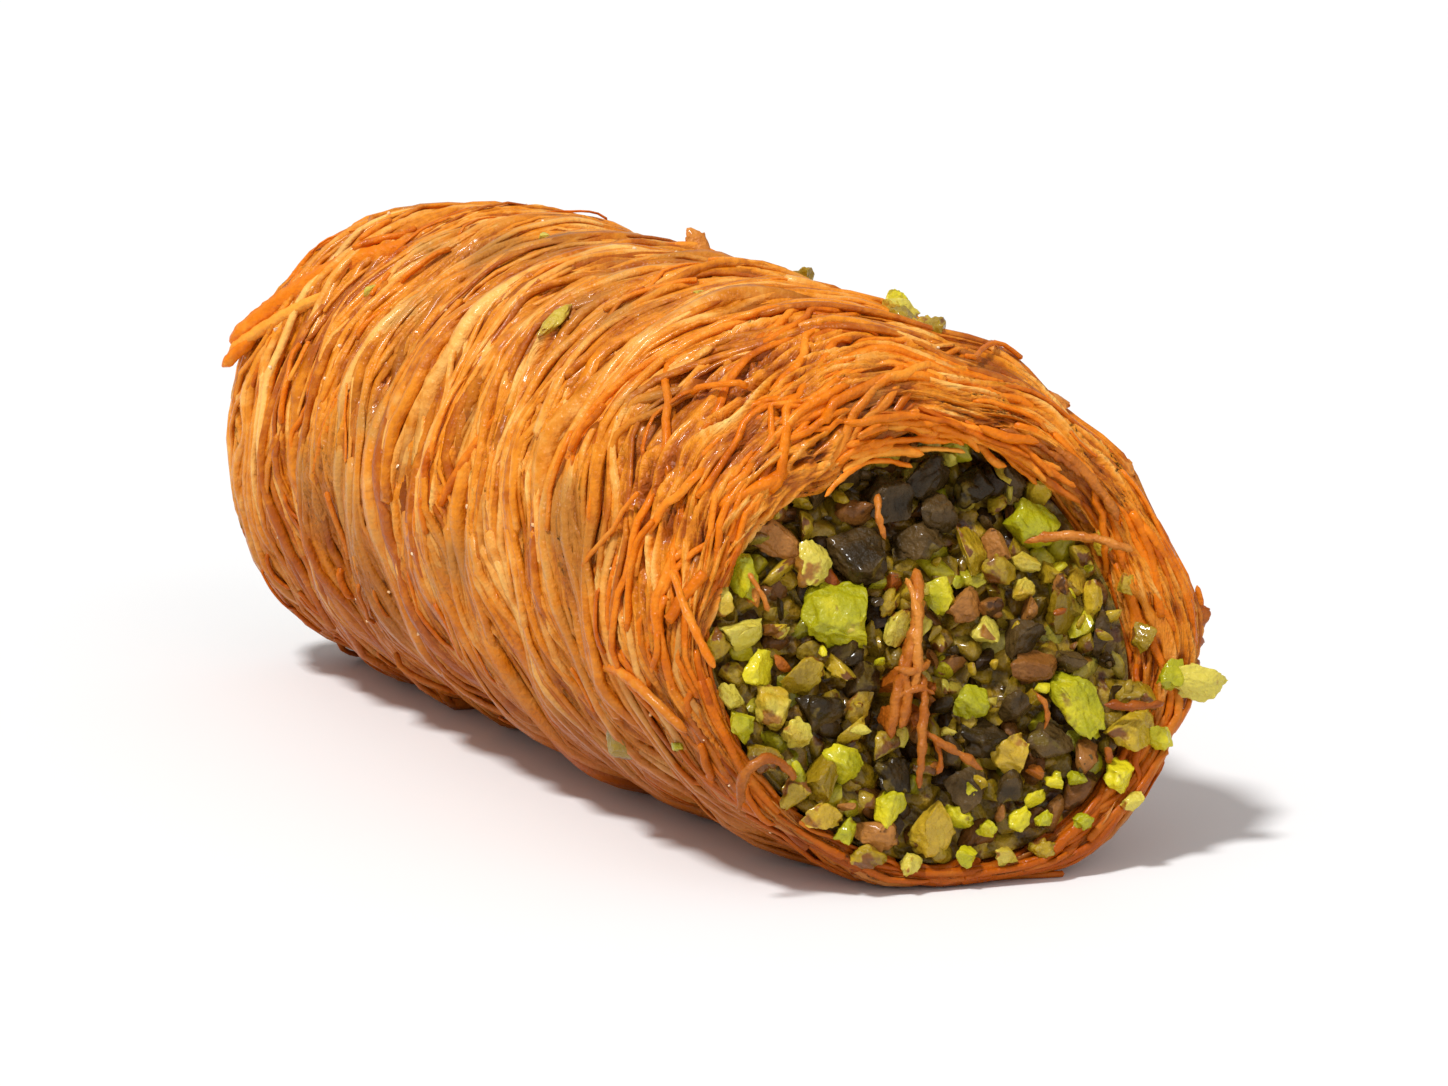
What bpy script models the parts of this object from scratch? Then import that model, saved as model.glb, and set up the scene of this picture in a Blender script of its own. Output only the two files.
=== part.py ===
"""Kadayif roll: a sleeve of wound shredded pastry round a core of chopped pistachio.

Units are metres and +Z is up.  The roll lies along X with its shown cut end at +X, and
rests on a small flat spot under the sleeve.  The origin is the bottom centre of its box.
"""
from math import cos, pi, radians, sin, sqrt
from random import Random

import bmesh
import bpy

# Driving sizes of the roll
ROLL_LENGTH = 0.0745             # between the two cuts, along the middle
ROLL_RADIUS = 0.018
BARREL = 0.0005                  # how much fuller the roll is halfway along
FLAT_SPOT_DEPTH = 0.0007         # how far its weight has pressed the underside flat

# The pistachio core and the bore that holds it
BORE_RADIUS = 0.0138
BORE_UNEVENNESS = 0.0004
CORE_GAP = 0.0003                # between the sleeve's bore and the core
BORE_SHIFT_SHOWN = (-0.0010, -0.0021)     # Y and Z of the bore's middle at the shown cut
BORE_SHIFT_FAR = (0.0008, -0.0009)        # and at the far cut

# The knife's two cuts lean, so X changes by these shares of Y and Z across a cut
SHOWN_CUT_LEAN = (0.25, -0.30)
FAR_CUT_LEAN = (0.07, -0.09)

# The rounded lip of pastry round each cut: broad on one upper side, tight on the other
LIP_BROAD_SIDE = radians(125)    # angle round the roll, from +Y up towards +Z
LIP_REACH_SHOWN = (0.0038, 0.0092)        # length over which the side turns in, least and most
LIP_REACH_FAR = (0.0045, 0.0070)
LIP_CREST = 0.62                 # where its crest lies, as a share of the wall from outside
LIP_HOOK_LOW = 0.0008            # how far it turns back in again at the bore, underneath
LIP_HOOK_HIGH = 0.0026           # and at the top

# Bundles of strands lie across the roll as low ridges, in two layers that lean both ways
BUNDLES = (
    # pitch along X, whole pitches gained in one turn, height, phase
    (0.0088, 4, 0.00034, 0.4),
    (0.0067, -3, 0.00024, 2.1),
)
SWELLS = (
    # whole waves in one turn, wave length along X, height, phase
    (2, 0.061, 0.00030, 0.9),
    (3, 0.043, 0.00022, 3.7),
    (5, 0.029, 0.00015, 5.2),
)

# Chopped nuts make both ends of the core uneven
NUT_SIZE = 0.0027                # spacing of the bits
NUT_SHAKE = 0.42                 # how far a bit is off its place, as a share of the spacing
NUT_HEIGHT = 0.0007              # how far a bit stands out or in
NUT_TILT = 0.45                  # steepest slope of a bit's top
NUT_SEED = 23
CORE_RECESS_LOW = -0.0002        # the bits stand a little proud at the bottom of the cut
CORE_RECESS_HIGH = 0.0032        # and are hollowed out under its upper lip

# Fineness of the meshes
AROUND = 60
SIDE_ROWS = 38
LIP_ROWS = 5
BORE_ROWS = 5
CORE_END_RINGS = 10
SHARP_ANGLE = radians(38)

PASTRY_COLOUR = (0.63, 0.235, 0.045, 1.0)
FILLING_COLOUR = (0.22, 0.17, 0.030, 1.0)


def blend(a, b, share):
    return a + (b - a) * share


def smooth_step(low, high, value):
    share = min(max((value - low) / (high - low), 0.0), 1.0)
    return share * share * (3.0 - 2.0 * share)


def cut_plane(end, y, z):
    """X of the knife's cut at one end, +1 for the shown cut and -1 for the far one."""
    lean_y, lean_z = SHOWN_CUT_LEAN if end > 0 else FAR_CUT_LEAN
    return end * ROLL_LENGTH / 2 + lean_y * y + lean_z * z


def outer_point(angle, x):
    """A point on the sleeve's outside: a slight barrel with bundles and swells on it."""
    along = 2.0 * x / ROLL_LENGTH
    radius = ROLL_RADIUS + BARREL * (1.0 - along * along)
    for pitch, turns, height, phase in BUNDLES:
        radius += height * cos(2.0 * pi * x / pitch + turns * angle + phase)
    for waves, length, height, phase in SWELLS:
        radius += height * sin(2.0 * pi * x / length + phase) * cos(waves * angle + phase)
    floor = FLAT_SPOT_DEPTH - ROLL_RADIUS
    return radius * cos(angle), max(radius * sin(angle), floor)


def bore_point(angle, x, gap=0.0):
    """A point on the bore's wall, or on the core inside it when there is a gap."""
    share = x / ROLL_LENGTH + 0.5
    middle_y = blend(BORE_SHIFT_FAR[0], BORE_SHIFT_SHOWN[0], share)
    middle_z = blend(BORE_SHIFT_FAR[1], BORE_SHIFT_SHOWN[1], share)
    uneven = 0.6 * cos(3 * angle + 1.1) + 0.4 * cos(5 * angle + 0.3)
    radius = BORE_RADIUS + BORE_UNEVENNESS * uneven - gap
    return middle_y + radius * cos(angle), middle_z + radius * sin(angle)


def lip_reach(angle, end):
    least, most = LIP_REACH_SHOWN if end > 0 else LIP_REACH_FAR
    return blend(least, most, 0.5 + 0.5 * cos(angle - LIP_BROAD_SIDE))


def lip_hook(angle):
    return blend(LIP_HOOK_LOW, LIP_HOOK_HIGH, 0.5 + 0.5 * sin(angle))


def outer_edge_x(angle, end):
    """X where the side of the sleeve starts to turn in towards a cut."""
    y, z = ROLL_RADIUS * cos(angle), ROLL_RADIUS * sin(angle)
    return cut_plane(end, y, z) - end * lip_reach(angle, end)


def bore_edge_x(angle, end):
    y, z = bore_point(angle, end * ROLL_LENGTH / 2)
    return cut_plane(end, y, z) - end * lip_hook(angle)


def lip_point(angle, end, share):
    """A point across the lip, from the outer side at share 0 to the bore at share 1."""
    outer_x = outer_edge_x(angle, end)
    bore_x = bore_edge_x(angle, end)
    outer_y, outer_z = outer_point(angle, outer_x)
    inner_y, inner_z = bore_point(angle, bore_x)
    y, z = blend(outer_y, inner_y, share), blend(outer_z, inner_z, share)
    if share < LIP_CREST:
        fall, reach = 1.0 - share / LIP_CREST, lip_reach(angle, end)
    else:
        fall, reach = (share - LIP_CREST) / (1.0 - LIP_CREST), lip_hook(angle)
    set_back = reach * (1.0 - sqrt(max(1.0 - fall * fall, 0.0)))
    edge = outer_x if share < LIP_CREST else bore_x
    crest = blend(cut_plane(end, y, z), edge + end * reach, fall)
    return crest - end * set_back, y, z


def ring(bm, points):
    """A closed loop of edges through the points, as its corners and its edges."""
    corners = [bm.verts.new(point) for point in points]
    return corners, [bm.edges.new(pair) for pair in zip(corners, corners[1:] + corners[:1])]


def join_rings(bm, first, second):
    """Bridge two rings of AROUND points with quads."""
    for step in range(AROUND):
        after = (step + 1) % AROUND
        bm.faces.new((first[0][step], first[0][after], second[0][after], second[0][step]))


def finish_mesh(bm, name, material, parent):
    """Turn the faces outwards, shade them, and put the object in the scene."""
    bmesh.ops.triangulate(bm, faces=bm.faces)
    bmesh.ops.recalc_face_normals(bm, faces=bm.faces)
    mesh = bpy.data.meshes.new(name)
    bm.to_mesh(mesh)
    bm.free()
    mesh.materials.append(material)
    mesh.shade_smooth()
    mesh.set_sharp_from_angle(angle=SHARP_ANGLE)
    piece = bpy.data.objects.new(name, mesh)
    piece.parent = parent
    bpy.context.scene.collection.objects.link(piece)
    return piece


def lip_shares():
    """Shares across the lip, closer together where the curve turns fastest."""
    steps = [sin(0.5 * pi * row / LIP_ROWS) for row in range(1, LIP_ROWS + 1)]
    outer_half = [LIP_CREST * (1.0 - cos(0.5 * pi * step)) for step in steps[:-1]]
    return outer_half + [LIP_CREST, blend(LIP_CREST, 1.0, 0.6), 1.0]


def make_pastry(material, parent):
    """The sleeve: its side, one lip, the bore and the other lip, as one closed loop."""
    angles = [2.0 * pi * step / AROUND for step in range(AROUND)]
    bm = bmesh.new()
    rings = []
    for row in range(SIDE_ROWS + 1):
        share = row / SIDE_ROWS
        points = []
        for angle in angles:
            x = blend(outer_edge_x(angle, -1), outer_edge_x(angle, 1), share)
            points.append((x, *outer_point(angle, x)))
        rings.append(ring(bm, points))
    for share in lip_shares():
        rings.append(ring(bm, [lip_point(angle, 1, share) for angle in angles]))
    for row in range(1, BORE_ROWS):
        share = row / BORE_ROWS
        points = []
        for angle in angles:
            x = blend(bore_edge_x(angle, 1), bore_edge_x(angle, -1), share)
            points.append((x, *bore_point(angle, x)))
        rings.append(ring(bm, points))
    for share in reversed(lip_shares()):
        rings.append(ring(bm, [lip_point(angle, -1, share) for angle in angles]))
    for first, second in zip(rings, rings[1:] + rings[:1]):
        join_rings(bm, first, second)
    return finish_mesh(bm, "pastry", material, parent)


def core_end_x(end, y, z):
    """X of the core's end before its bits are added: hollow at the top, full below."""
    recess = blend(CORE_RECESS_LOW, CORE_RECESS_HIGH, smooth_step(-0.010, 0.013, z))
    return cut_plane(end, y, z) - end * recess


def chopped_bits(rng):
    """Bits of nut over a square that covers the core: middle, height and two slopes."""
    count = int(2 * BORE_RADIUS / NUT_SIZE) + 2
    bits = []
    for row in range(count):
        for column in range(count):
            shakes = [rng.uniform(-NUT_SHAKE, NUT_SHAKE) for _ in range(2)]
            y = (column - count / 2 + 0.5 * (row % 2) + shakes[0]) * NUT_SIZE
            z = (row - count / 2 + shakes[1]) * NUT_SIZE
            height = rng.uniform(-NUT_HEIGHT, NUT_HEIGHT)
            slopes = [rng.uniform(-NUT_TILT, NUT_TILT) for _ in range(2)]
            bits.append((y, z, height, *slopes))
    return bits


def bit_relief(bits, y, z):
    """How far the nearest bit of nut stands out of the cut at a point."""
    nearest = min(bits, key=lambda bit: (bit[0] - y) ** 2 + (bit[1] - z) ** 2)
    return nearest[2] + nearest[3] * (y - nearest[0]) + nearest[4] * (z - nearest[1])


def make_core_end(bm, end, bits):
    """One chopped end of the core, from its rim inwards; returns the ring at the rim."""
    rings = []
    for number in range(CORE_END_RINGS):
        share = 1.0 - number / CORE_END_RINGS
        count = round(AROUND * share)
        points = []
        for step in range(count):
            angle = 2.0 * pi * step / count
            rim_y, rim_z = bore_point(angle, end * ROLL_LENGTH / 2, CORE_GAP)
            mid_y, mid_z = BORE_SHIFT_SHOWN if end > 0 else BORE_SHIFT_FAR
            y, z = blend(mid_y, rim_y, share), blend(mid_z, rim_z, share)
            x = core_end_x(end, y, z) + end * bit_relief(bits, y, z)
            if number == 0:
                y, z = bore_point(angle, x, CORE_GAP)
            points.append((x, y, z))
        rings.append(ring(bm, points))
    for first, second in zip(rings, rings[1:]):
        bmesh.ops.bridge_loops(bm, edges=first[1] + second[1])
    bm.faces.new(rings[-1][0])
    return rings[0]


def make_filling(material, parent):
    """The core: a straight-sided rod that runs right through, with chopped-nut ends."""
    rng = Random(NUT_SEED)
    bm = bmesh.new()
    shown_rim = make_core_end(bm, 1, chopped_bits(rng))
    far_rim = make_core_end(bm, -1, chopped_bits(rng))
    join_rings(bm, shown_rim, far_rim)
    return finish_mesh(bm, "pistachio_filling", material, parent)


def make_material(name, colour, roughness):
    material = bpy.data.materials.new(name)
    material.use_nodes = True
    shader = material.node_tree.nodes["Principled BSDF"]
    shader.inputs["Base Color"].default_value = colour
    shader.inputs["Roughness"].default_value = roughness
    shader.inputs["Metallic"].default_value = 0.0
    return material


def stand_on_origin(parent, pieces):
    """Move the roll so that the bottom centre of its box is at the origin."""
    corners = [vertex.co for piece in pieces for vertex in piece.data.vertices]
    lows = [min(corner[axis] for corner in corners) for axis in range(3)]
    highs = [max(corner[axis] for corner in corners) for axis in range(3)]
    parent.location = (-(lows[0] + highs[0]) / 2, -(lows[1] + highs[1]) / 2, -lows[2])


def main():
    for old in list(bpy.data.objects):
        bpy.data.objects.remove(old)
    roll = bpy.data.objects.new("roll", None)
    bpy.context.scene.collection.objects.link(roll)
    pastry = make_pastry(make_material("pastry", PASTRY_COLOUR, 0.45), roll)
    filling = make_filling(make_material("filling", FILLING_COLOUR, 0.55), roll)
    stand_on_origin(roll, (pastry, filling))


main()
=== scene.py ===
"""Looks of the kadayif roll: wound, syrup-soaked pastry strands round chopped pistachio.

Metres, +Z up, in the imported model's own frame.  The roll lies along X, its shown cut at +X.
"""

from functools import reduce
from math import cos, pi, radians, sin, tau
from random import Random

import bmesh
import bpy
import numpy as np
from mathutils import Matrix, Vector, noise


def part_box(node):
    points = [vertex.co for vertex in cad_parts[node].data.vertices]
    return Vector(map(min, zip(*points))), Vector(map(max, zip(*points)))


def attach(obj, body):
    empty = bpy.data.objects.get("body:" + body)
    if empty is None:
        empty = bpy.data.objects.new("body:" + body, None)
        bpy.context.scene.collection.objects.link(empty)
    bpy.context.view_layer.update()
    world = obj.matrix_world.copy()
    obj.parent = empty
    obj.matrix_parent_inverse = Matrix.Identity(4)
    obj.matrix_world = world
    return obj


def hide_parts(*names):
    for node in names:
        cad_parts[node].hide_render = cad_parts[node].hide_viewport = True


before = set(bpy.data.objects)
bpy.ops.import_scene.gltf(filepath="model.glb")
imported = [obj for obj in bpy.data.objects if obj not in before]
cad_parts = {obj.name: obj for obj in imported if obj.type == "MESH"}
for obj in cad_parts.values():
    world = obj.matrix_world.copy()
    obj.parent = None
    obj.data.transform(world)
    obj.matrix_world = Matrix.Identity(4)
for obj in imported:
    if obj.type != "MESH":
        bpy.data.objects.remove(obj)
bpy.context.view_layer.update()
MM = 0.001

# ---- Sizes of the sleeve, as its CAD node has them ----
PASTRY_LOW, PASTRY_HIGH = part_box("pastry")
ROLL_LENGTH = 74.5 * MM
ROLL_RADIUS = 18.0 * MM
BARREL = 0.5 * MM                # how much fuller the roll is at its middle
FLAT_SPOT_DEPTH = 0.7 * MM
BORE_RADIUS = 13.8 * MM
BORE_SHIFT_SHOWN = (-1.0 * MM, -2.1 * MM)    # the bore's middle at each end, as y and z
BORE_SHIFT_FAR = (0.8 * MM, -0.9 * MM)
SHOWN_CUT_LEAN = (0.25, -0.30)   # how far a cut moves along X for each metre of y and z
FAR_CUT_LEAN = (0.07, -0.09)
LIP_BROAD_SIDE = radians(125)    # where a lip reaches furthest back along the side
LIP_REACH_SHOWN = (3.8 * MM, 9.2 * MM)       # least and most
LIP_REACH_FAR = (4.5 * MM, 7.0 * MM)
LIP_CREST = 0.62                 # of the way from the side to the bore
LIP_HOOK = (0.8 * MM, 2.6 * MM)  # how far its inner edge falls back, at bottom and top
LIP_OUTER_SHARE = 0.72           # of a lip's rows, those from the side to its crest
OVERHANG = 2.9 * MM              # how far loose strands of the shown lip hang over the filling
OVERHANG_MIDDLE = radians(126)
OVERHANG_FALL = (0.95, 1.5)      # how fast it ends before and past its middle
# Bundles of strands: pitch along the roll, turns, height and phase
BUNDLES = ((8.8 * MM, 4, 0.30 * MM, 0.4), (6.7 * MM, -3, 0.20 * MM, 2.1))
# Broad swellings: waves round the roll, length along it, height and phase
SWELLS = (
    (2, 61 * MM, 0.30 * MM, 0.9),
    (3, 43 * MM, 0.22 * MM, 3.7),
    (5, 29 * MM, 0.15 * MM, 5.2),
)
BORE_DEPTH = 6.0 * MM            # how far the strands follow the bore inwards
# How the shown end has sagged: middle and half width of a stretch round it, and its rise.
# The sag grows over a stretch along the roll, and from the bore out to the side
SAG_ALONG = (8 * MM, 32 * MM)
SAG_ACROSS = (12.5 * MM, 16.5 * MM)
SAGS = (
    (radians(48), radians(52), -1.5 * MM),
    (radians(-16), radians(40), 1.2 * MM),
)

# Rows of the sleeve's surface: in the far bore, over the far lip, along the side, over the
# shown lip and into the shown bore
SEGMENT_LENGTHS = np.array((6.0, 9.0, 62.0, 10.5, 6.0)) * MM
LAST_SEGMENT = len(SEGMENT_LENGTHS) - 1
ROW_LENGTH = float(SEGMENT_LENGTHS.sum())
TURN_LENGTH = tau * ROLL_RADIUS
MEASURED_TURNS = 120             # how finely the formulas' roll is measured
MEASURED_ROWS = 150


def cut_plane(end, y, z):
    lean_y, lean_z = SHOWN_CUT_LEAN if end > 0 else FAR_CUT_LEAN
    return end * ROLL_LENGTH / 2 + lean_y * y + lean_z * z


def outer_point(angle, x):
    along = 2 * x / ROLL_LENGTH
    radius = ROLL_RADIUS + BARREL * (1 - along ** 2)
    for pitch, turns, height, phase in BUNDLES:
        radius = radius + height * np.cos(tau * x / pitch + turns * angle + phase)
    for waves, length, height, phase in SWELLS:
        radius = radius + height * np.sin(tau * x / length + phase) * np.cos(waves * angle + phase)
    floor = FLAT_SPOT_DEPTH - ROLL_RADIUS
    return radius * np.cos(angle), np.maximum(radius * np.sin(angle), floor)


def bore_point(angle, x, gap=0.0):
    share = np.clip(x / ROLL_LENGTH + 0.5, 0.0, 1.0)
    middle_y = BORE_SHIFT_FAR[0] + (BORE_SHIFT_SHOWN[0] - BORE_SHIFT_FAR[0]) * share
    middle_z = BORE_SHIFT_FAR[1] + (BORE_SHIFT_SHOWN[1] - BORE_SHIFT_FAR[1]) * share
    radius = BORE_RADIUS - gap
    return middle_y + radius * np.cos(angle), middle_z + radius * np.sin(angle)


def lip_reach(angle, end):
    least, most = LIP_REACH_SHOWN if end > 0 else LIP_REACH_FAR
    return least + (most - least) * (0.5 + 0.5 * np.cos(angle - LIP_BROAD_SIDE))


def lip_hook(angle):
    return LIP_HOOK[0] + (LIP_HOOK[1] - LIP_HOOK[0]) * (0.5 + 0.5 * np.sin(angle))


def overhang(angle, end):
    """How far inside the bore a lip's inner edge hangs."""
    away = (angle - OVERHANG_MIDDLE + pi) % tau - pi
    before, past = OVERHANG_FALL
    away = np.clip(away * np.where(away > 0, past, before), -pi / 2, pi / 2)
    ragged = 0.14 * np.sin(7 * angle) + 0.06 * np.sin(16 * angle + 1)
    return OVERHANG * np.cos(away) ** 2 * (1 + ragged) * (end > 0)


def lip_point(angle, end, share):
    """Across a lip: share 0 is its edge on the side, 1 its edge in the bore."""
    edge_x = cut_plane(end, ROLL_RADIUS * np.cos(angle), ROLL_RADIUS * np.sin(angle))
    outer_y, outer_z = outer_point(angle, edge_x - end * lip_reach(angle, end))
    inner_y, inner_z = bore_point(
        angle, np.full_like(angle, end * ROLL_LENGTH / 2), overhang(angle, end))
    if share < LIP_OUTER_SHARE:
        turn = 0.5 * pi * share / LIP_OUTER_SHARE
        inset = LIP_CREST * (1 - cos(turn))
        back = lip_reach(angle, end) * (1 - sin(turn))
    else:
        turn = 0.5 * pi * (share - LIP_OUTER_SHARE) / (1 - LIP_OUTER_SHARE)
        inset = LIP_CREST + (1 - LIP_CREST) * sin(turn)
        back = lip_hook(angle) * (1 - cos(turn))
    y = outer_y + (inner_y - outer_y) * inset
    z = outer_z + (inner_z - outer_z) * inset
    return np.stack((cut_plane(end, y, z) - end * back, y, z), axis=-1)


def sleeve_row(angle, row):
    """One ring of the sleeve's surface; row runs from 0 to 1 over ROW_LENGTH."""
    along = row * ROW_LENGTH
    segment = 0
    while segment < LAST_SEGMENT and along > SEGMENT_LENGTHS[segment]:
        along -= SEGMENT_LENGTHS[segment]
        segment += 1
    share = along / SEGMENT_LENGTHS[segment]
    if segment in (0, LAST_SEGMENT):
        end = -1 if segment == 0 else 1
        edge = lip_point(angle, end, 1.0)
        depth = BORE_DEPTH * (1 - share if segment == 0 else share)
        edge[..., 0] -= end * depth
        gap = overhang(angle, end) * (1 - depth / BORE_DEPTH) ** 2
        edge[..., 1], edge[..., 2] = bore_point(
            angle, np.full_like(angle, end * ROLL_LENGTH / 2), gap)
        return edge
    if segment == 1:
        return lip_point(angle, -1, 1 - share)
    if segment == 3:
        return lip_point(angle, 1, share)
    far_x = lip_point(angle, -1, 0.0)[..., 0]
    shown_x = lip_point(angle, 1, 0.0)[..., 0]
    x = far_x + (shown_x - far_x) * share
    y, z = outer_point(angle, x)
    return np.stack((x, y, z), axis=-1)


def smooth_step(low, high, value):
    share = np.clip((value - low) / (high - low), 0, 1)
    return share * share * (3 - 2 * share)


def sagged(points):
    """Points of the sleeve, with its shown end sagged to one side."""
    x, y, z = points[..., 0], points[..., 1], points[..., 2]
    angle, radius = np.arctan2(z, y), np.hypot(y, z)
    share = smooth_step(*SAG_ALONG, x) * smooth_step(*SAG_ACROSS, radius)
    grown = np.ones_like(radius)
    for middle, width, rise in SAGS:
        away = np.clip((angle - middle) / width, -1, 1)
        grown = grown + share * rise / radius * np.cos(away * pi / 2) ** 2
    return np.stack((x, y * grown, z * grown), axis=-1)


def sleeve_grid(turns, rows):
    """Points and outward normals of the sleeve at these rows, as arrays of turns by rows."""
    angle = np.linspace(0, tau, turns + 1)
    grid = sagged(np.stack([sleeve_row(angle, row) for row in rows], axis=1))
    around = np.gradient(grid, axis=0)
    around[0] = around[-1] = (grid[1] - grid[-2]) / 2
    along = np.gradient(grid, axis=1)
    out = np.cross(around, along)
    out /= np.linalg.norm(out, axis=-1, keepdims=True)
    return grid + ROLL_SHIFT, out


def roll_shift():
    """Moves the formulas' roll to where the CAD node's box is."""
    angle = np.linspace(0, tau, MEASURED_TURNS + 1)
    rows = np.concatenate(
        [sleeve_row(angle, row / MEASURED_ROWS) for row in range(MEASURED_ROWS + 1)])
    middle = [(low + high) / 2 for low, high in zip(PASTRY_LOW, PASTRY_HIGH)]
    own = (rows.min(axis=0) + rows.max(axis=0)) / 2
    shift = np.array(middle) - own
    shift[2] = PASTRY_LOW[2] - rows[:, 2].min()
    return shift


ROLL_SHIFT = roll_shift()


# ---- Node trees, with fields written as formulas ----
class Field:
    """A socket of a tree under construction, for use in formulas."""

    def __init__(self, tree, socket):
        self.tree, self.socket = tree, socket

    def __add__(self, other):
        return self.tree.math("ADD", self, other)

    def __sub__(self, other):
        return self.tree.math("SUBTRACT", self, other)

    def __rsub__(self, other):
        return self.tree.math("SUBTRACT", other, self)

    def __mul__(self, other):
        return self.tree.math("MULTIPLY", self, other)

    def __truediv__(self, other):
        return self.tree.math("DIVIDE", self, other)

    __radd__ = __add__
    __rmul__ = __mul__

    def at_least(self, other):
        return self.tree.math("MAXIMUM", self, other)

    def at_most(self, other):
        return self.tree.math("MINIMUM", self, other)

    def clamp(self, low, high):
        return self.at_least(low).at_most(high)


class NodeTree:
    """A new node group, to which this adds nodes and wires them up."""

    def __init__(self, name, kind):
        self.group = bpy.data.node_groups.new(name, kind)
        self.entry = self.group.nodes.new("NodeGroupInput")
        self.exit = self.group.nodes.new("NodeGroupOutput")

    def inputs(self, kind, *names):
        """New inputs of the group, all of one kind."""
        for name in names:
            self.group.interface.new_socket(
                name, in_out="INPUT", socket_type="NodeSocket" + kind)
        return [Field(self, self.entry.outputs[name]) for name in names]

    def output(self, name, field, kind="Float"):
        self.group.interface.new_socket(
            name, in_out="OUTPUT", socket_type="NodeSocket" + kind)
        self.group.links.new(field.socket, self.exit.inputs[name])

    def add(self, kind, inputs=None, output=None, **settings):
        """A node with its settings, fed by socket identifier; returns one of its outputs."""
        node = self.group.nodes.new(kind)
        for name, value in settings.items():
            setattr(node, name, value)
        for identifier, value in (inputs or {}).items():
            socket = next(s for s in node.inputs if s.identifier == identifier)
            if isinstance(value, Field):
                self.group.links.new(value.socket, socket)
            else:
                socket.default_value = value
        found = node.outputs[output] if output else next(s for s in node.outputs if s.enabled)
        return Field(self, found)

    def math(self, operation, first, second=0.0):
        return self.add(
            "ShaderNodeMath", {"Value": first, "Value_001": second}, operation=operation)

    def vector(self, x, y, z):
        return self.add("ShaderNodeCombineXYZ", {"X": x, "Y": y, "Z": z})

    def on_circle(self, angle, radius, height):
        """A place round the Z axis, for noise that closes on itself round the roll."""
        return self.vector(self.math("COSINE", angle) * radius,
                           self.math("SINE", angle) * radius, height)

    def part_of(self, vector, axis):
        return self.add("ShaderNodeSeparateXYZ", {"Vector": vector}, output=axis)

    def vector_math(self, operation, first, second):
        return self.add("ShaderNodeVectorMath", {"Vector": first, "Vector_001": second},
                        operation=operation)

    def scaled(self, vector, factor):
        return self.add("ShaderNodeVectorMath", {"Vector": vector, "Scale": factor},
                        operation="SCALE")

    def noise(self, place, scale=1.0, detail=1.0):
        """Smooth noise, nearly always between -1 and 1."""
        raw = self.add("ShaderNodeTexNoise", {"Vector": place, "Scale": scale, "Detail": detail})
        return (raw - 0.5) * 2.6

    def step(self, value, low, high):
        """0 below low, 1 above high, smooth between."""
        return self.add("ShaderNodeMapRange", {"Value": value, "From Min": low, "From Max": high},
                        interpolation_type="SMOOTHSTEP")


def soaked_share(tree, place):
    """How soaked the pastry is with syrup, the same in trees and in finishes."""
    return tree.noise(place, 95.0, 2.0)


class Growth(NodeTree):
    """A geometry node tree with named inputs, ending in one plain geometry."""

    def __init__(self, name):
        super().__init__(name, "GeometryNodeTree")

    def random(self, low, high, by, seed):
        return self.add(
            "FunctionNodeRandomValue",
            {"Min_001": low, "Max_001": high, "ID": by, "Seed": seed}, data_type="FLOAT")

    def attribute(self, name, data_type="FLOAT"):
        return self.add("GeometryNodeInputNamedAttribute", {"Name": name}, data_type=data_type)

    def vector_attribute(self, name):
        return self.attribute(name, "FLOAT_VECTOR")

    def store(self, geometry, name, value, domain="POINT", data_type=None):
        kind = "FLOAT_VECTOR" if value.socket.type == "VECTOR" else "FLOAT"
        return self.add("GeometryNodeStoreNamedAttribute",
                        {"Geometry": geometry, "Name": name, "Value": value},
                        domain=domain, data_type=data_type or kind)

    def store_all(self, geometry, **values):
        for name, value in values.items():
            geometry = self.store(geometry, name, value)
        return geometry

    def moved(self, geometry, offset):
        return self.add("GeometryNodeSetPosition", {"Geometry": geometry, "Offset": offset})

    def mesh_of(self, thing):
        return self.add("GeometryNodeObjectInfo", {"Object": thing}, output="Geometry")

    def finish(self, geometry, material):
        geometry = self.add("GeometryNodeRealizeInstances", {"Geometry": geometry})
        geometry = self.add(
            "GeometryNodeSetShadeSmooth", {"Geometry": geometry, "Shade Smooth": True})
        geometry = self.add(
            "GeometryNodeSetMaterial", {"Geometry": geometry, "Material": material})
        self.output("Geometry", geometry, "Geometry")
        return self.group


def new_object(name, data):
    thing = bpy.data.objects.new(name, data)
    bpy.context.scene.collection.objects.link(thing)
    return thing


def set_attribute(mesh, name, values, kind="FLOAT"):
    """Stores a value, or a vector, for each point of a mesh."""
    attribute = mesh.attributes.new(name, kind, "POINT")
    values = np.asarray(values, np.float32).ravel()
    attribute.data.foreach_set("value" if kind == "FLOAT" else "vector", values)


def grow(name, tree, inputs):
    """Runs a tree with these inputs and keeps its result as a plain mesh object."""
    holder = new_object(name, bpy.data.meshes.new(name))
    modifier = holder.modifiers.new("Growth", "NODES")
    modifier.node_group = tree
    for item in tree.interface.items_tree:
        if item.in_out == "INPUT":
            modifier[item.identifier] = inputs[item.name]
    graph = bpy.context.evaluated_depsgraph_get()
    mesh = bpy.data.meshes.new_from_object(holder.evaluated_get(graph), depsgraph=graph)
    holder.modifiers.remove(modifier)
    holder.data = mesh
    mesh.name = name
    return holder


def ride_as(piece, slot, *nodes):
    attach(piece, "root")
    if nodes:
        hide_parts(*nodes)


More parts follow.
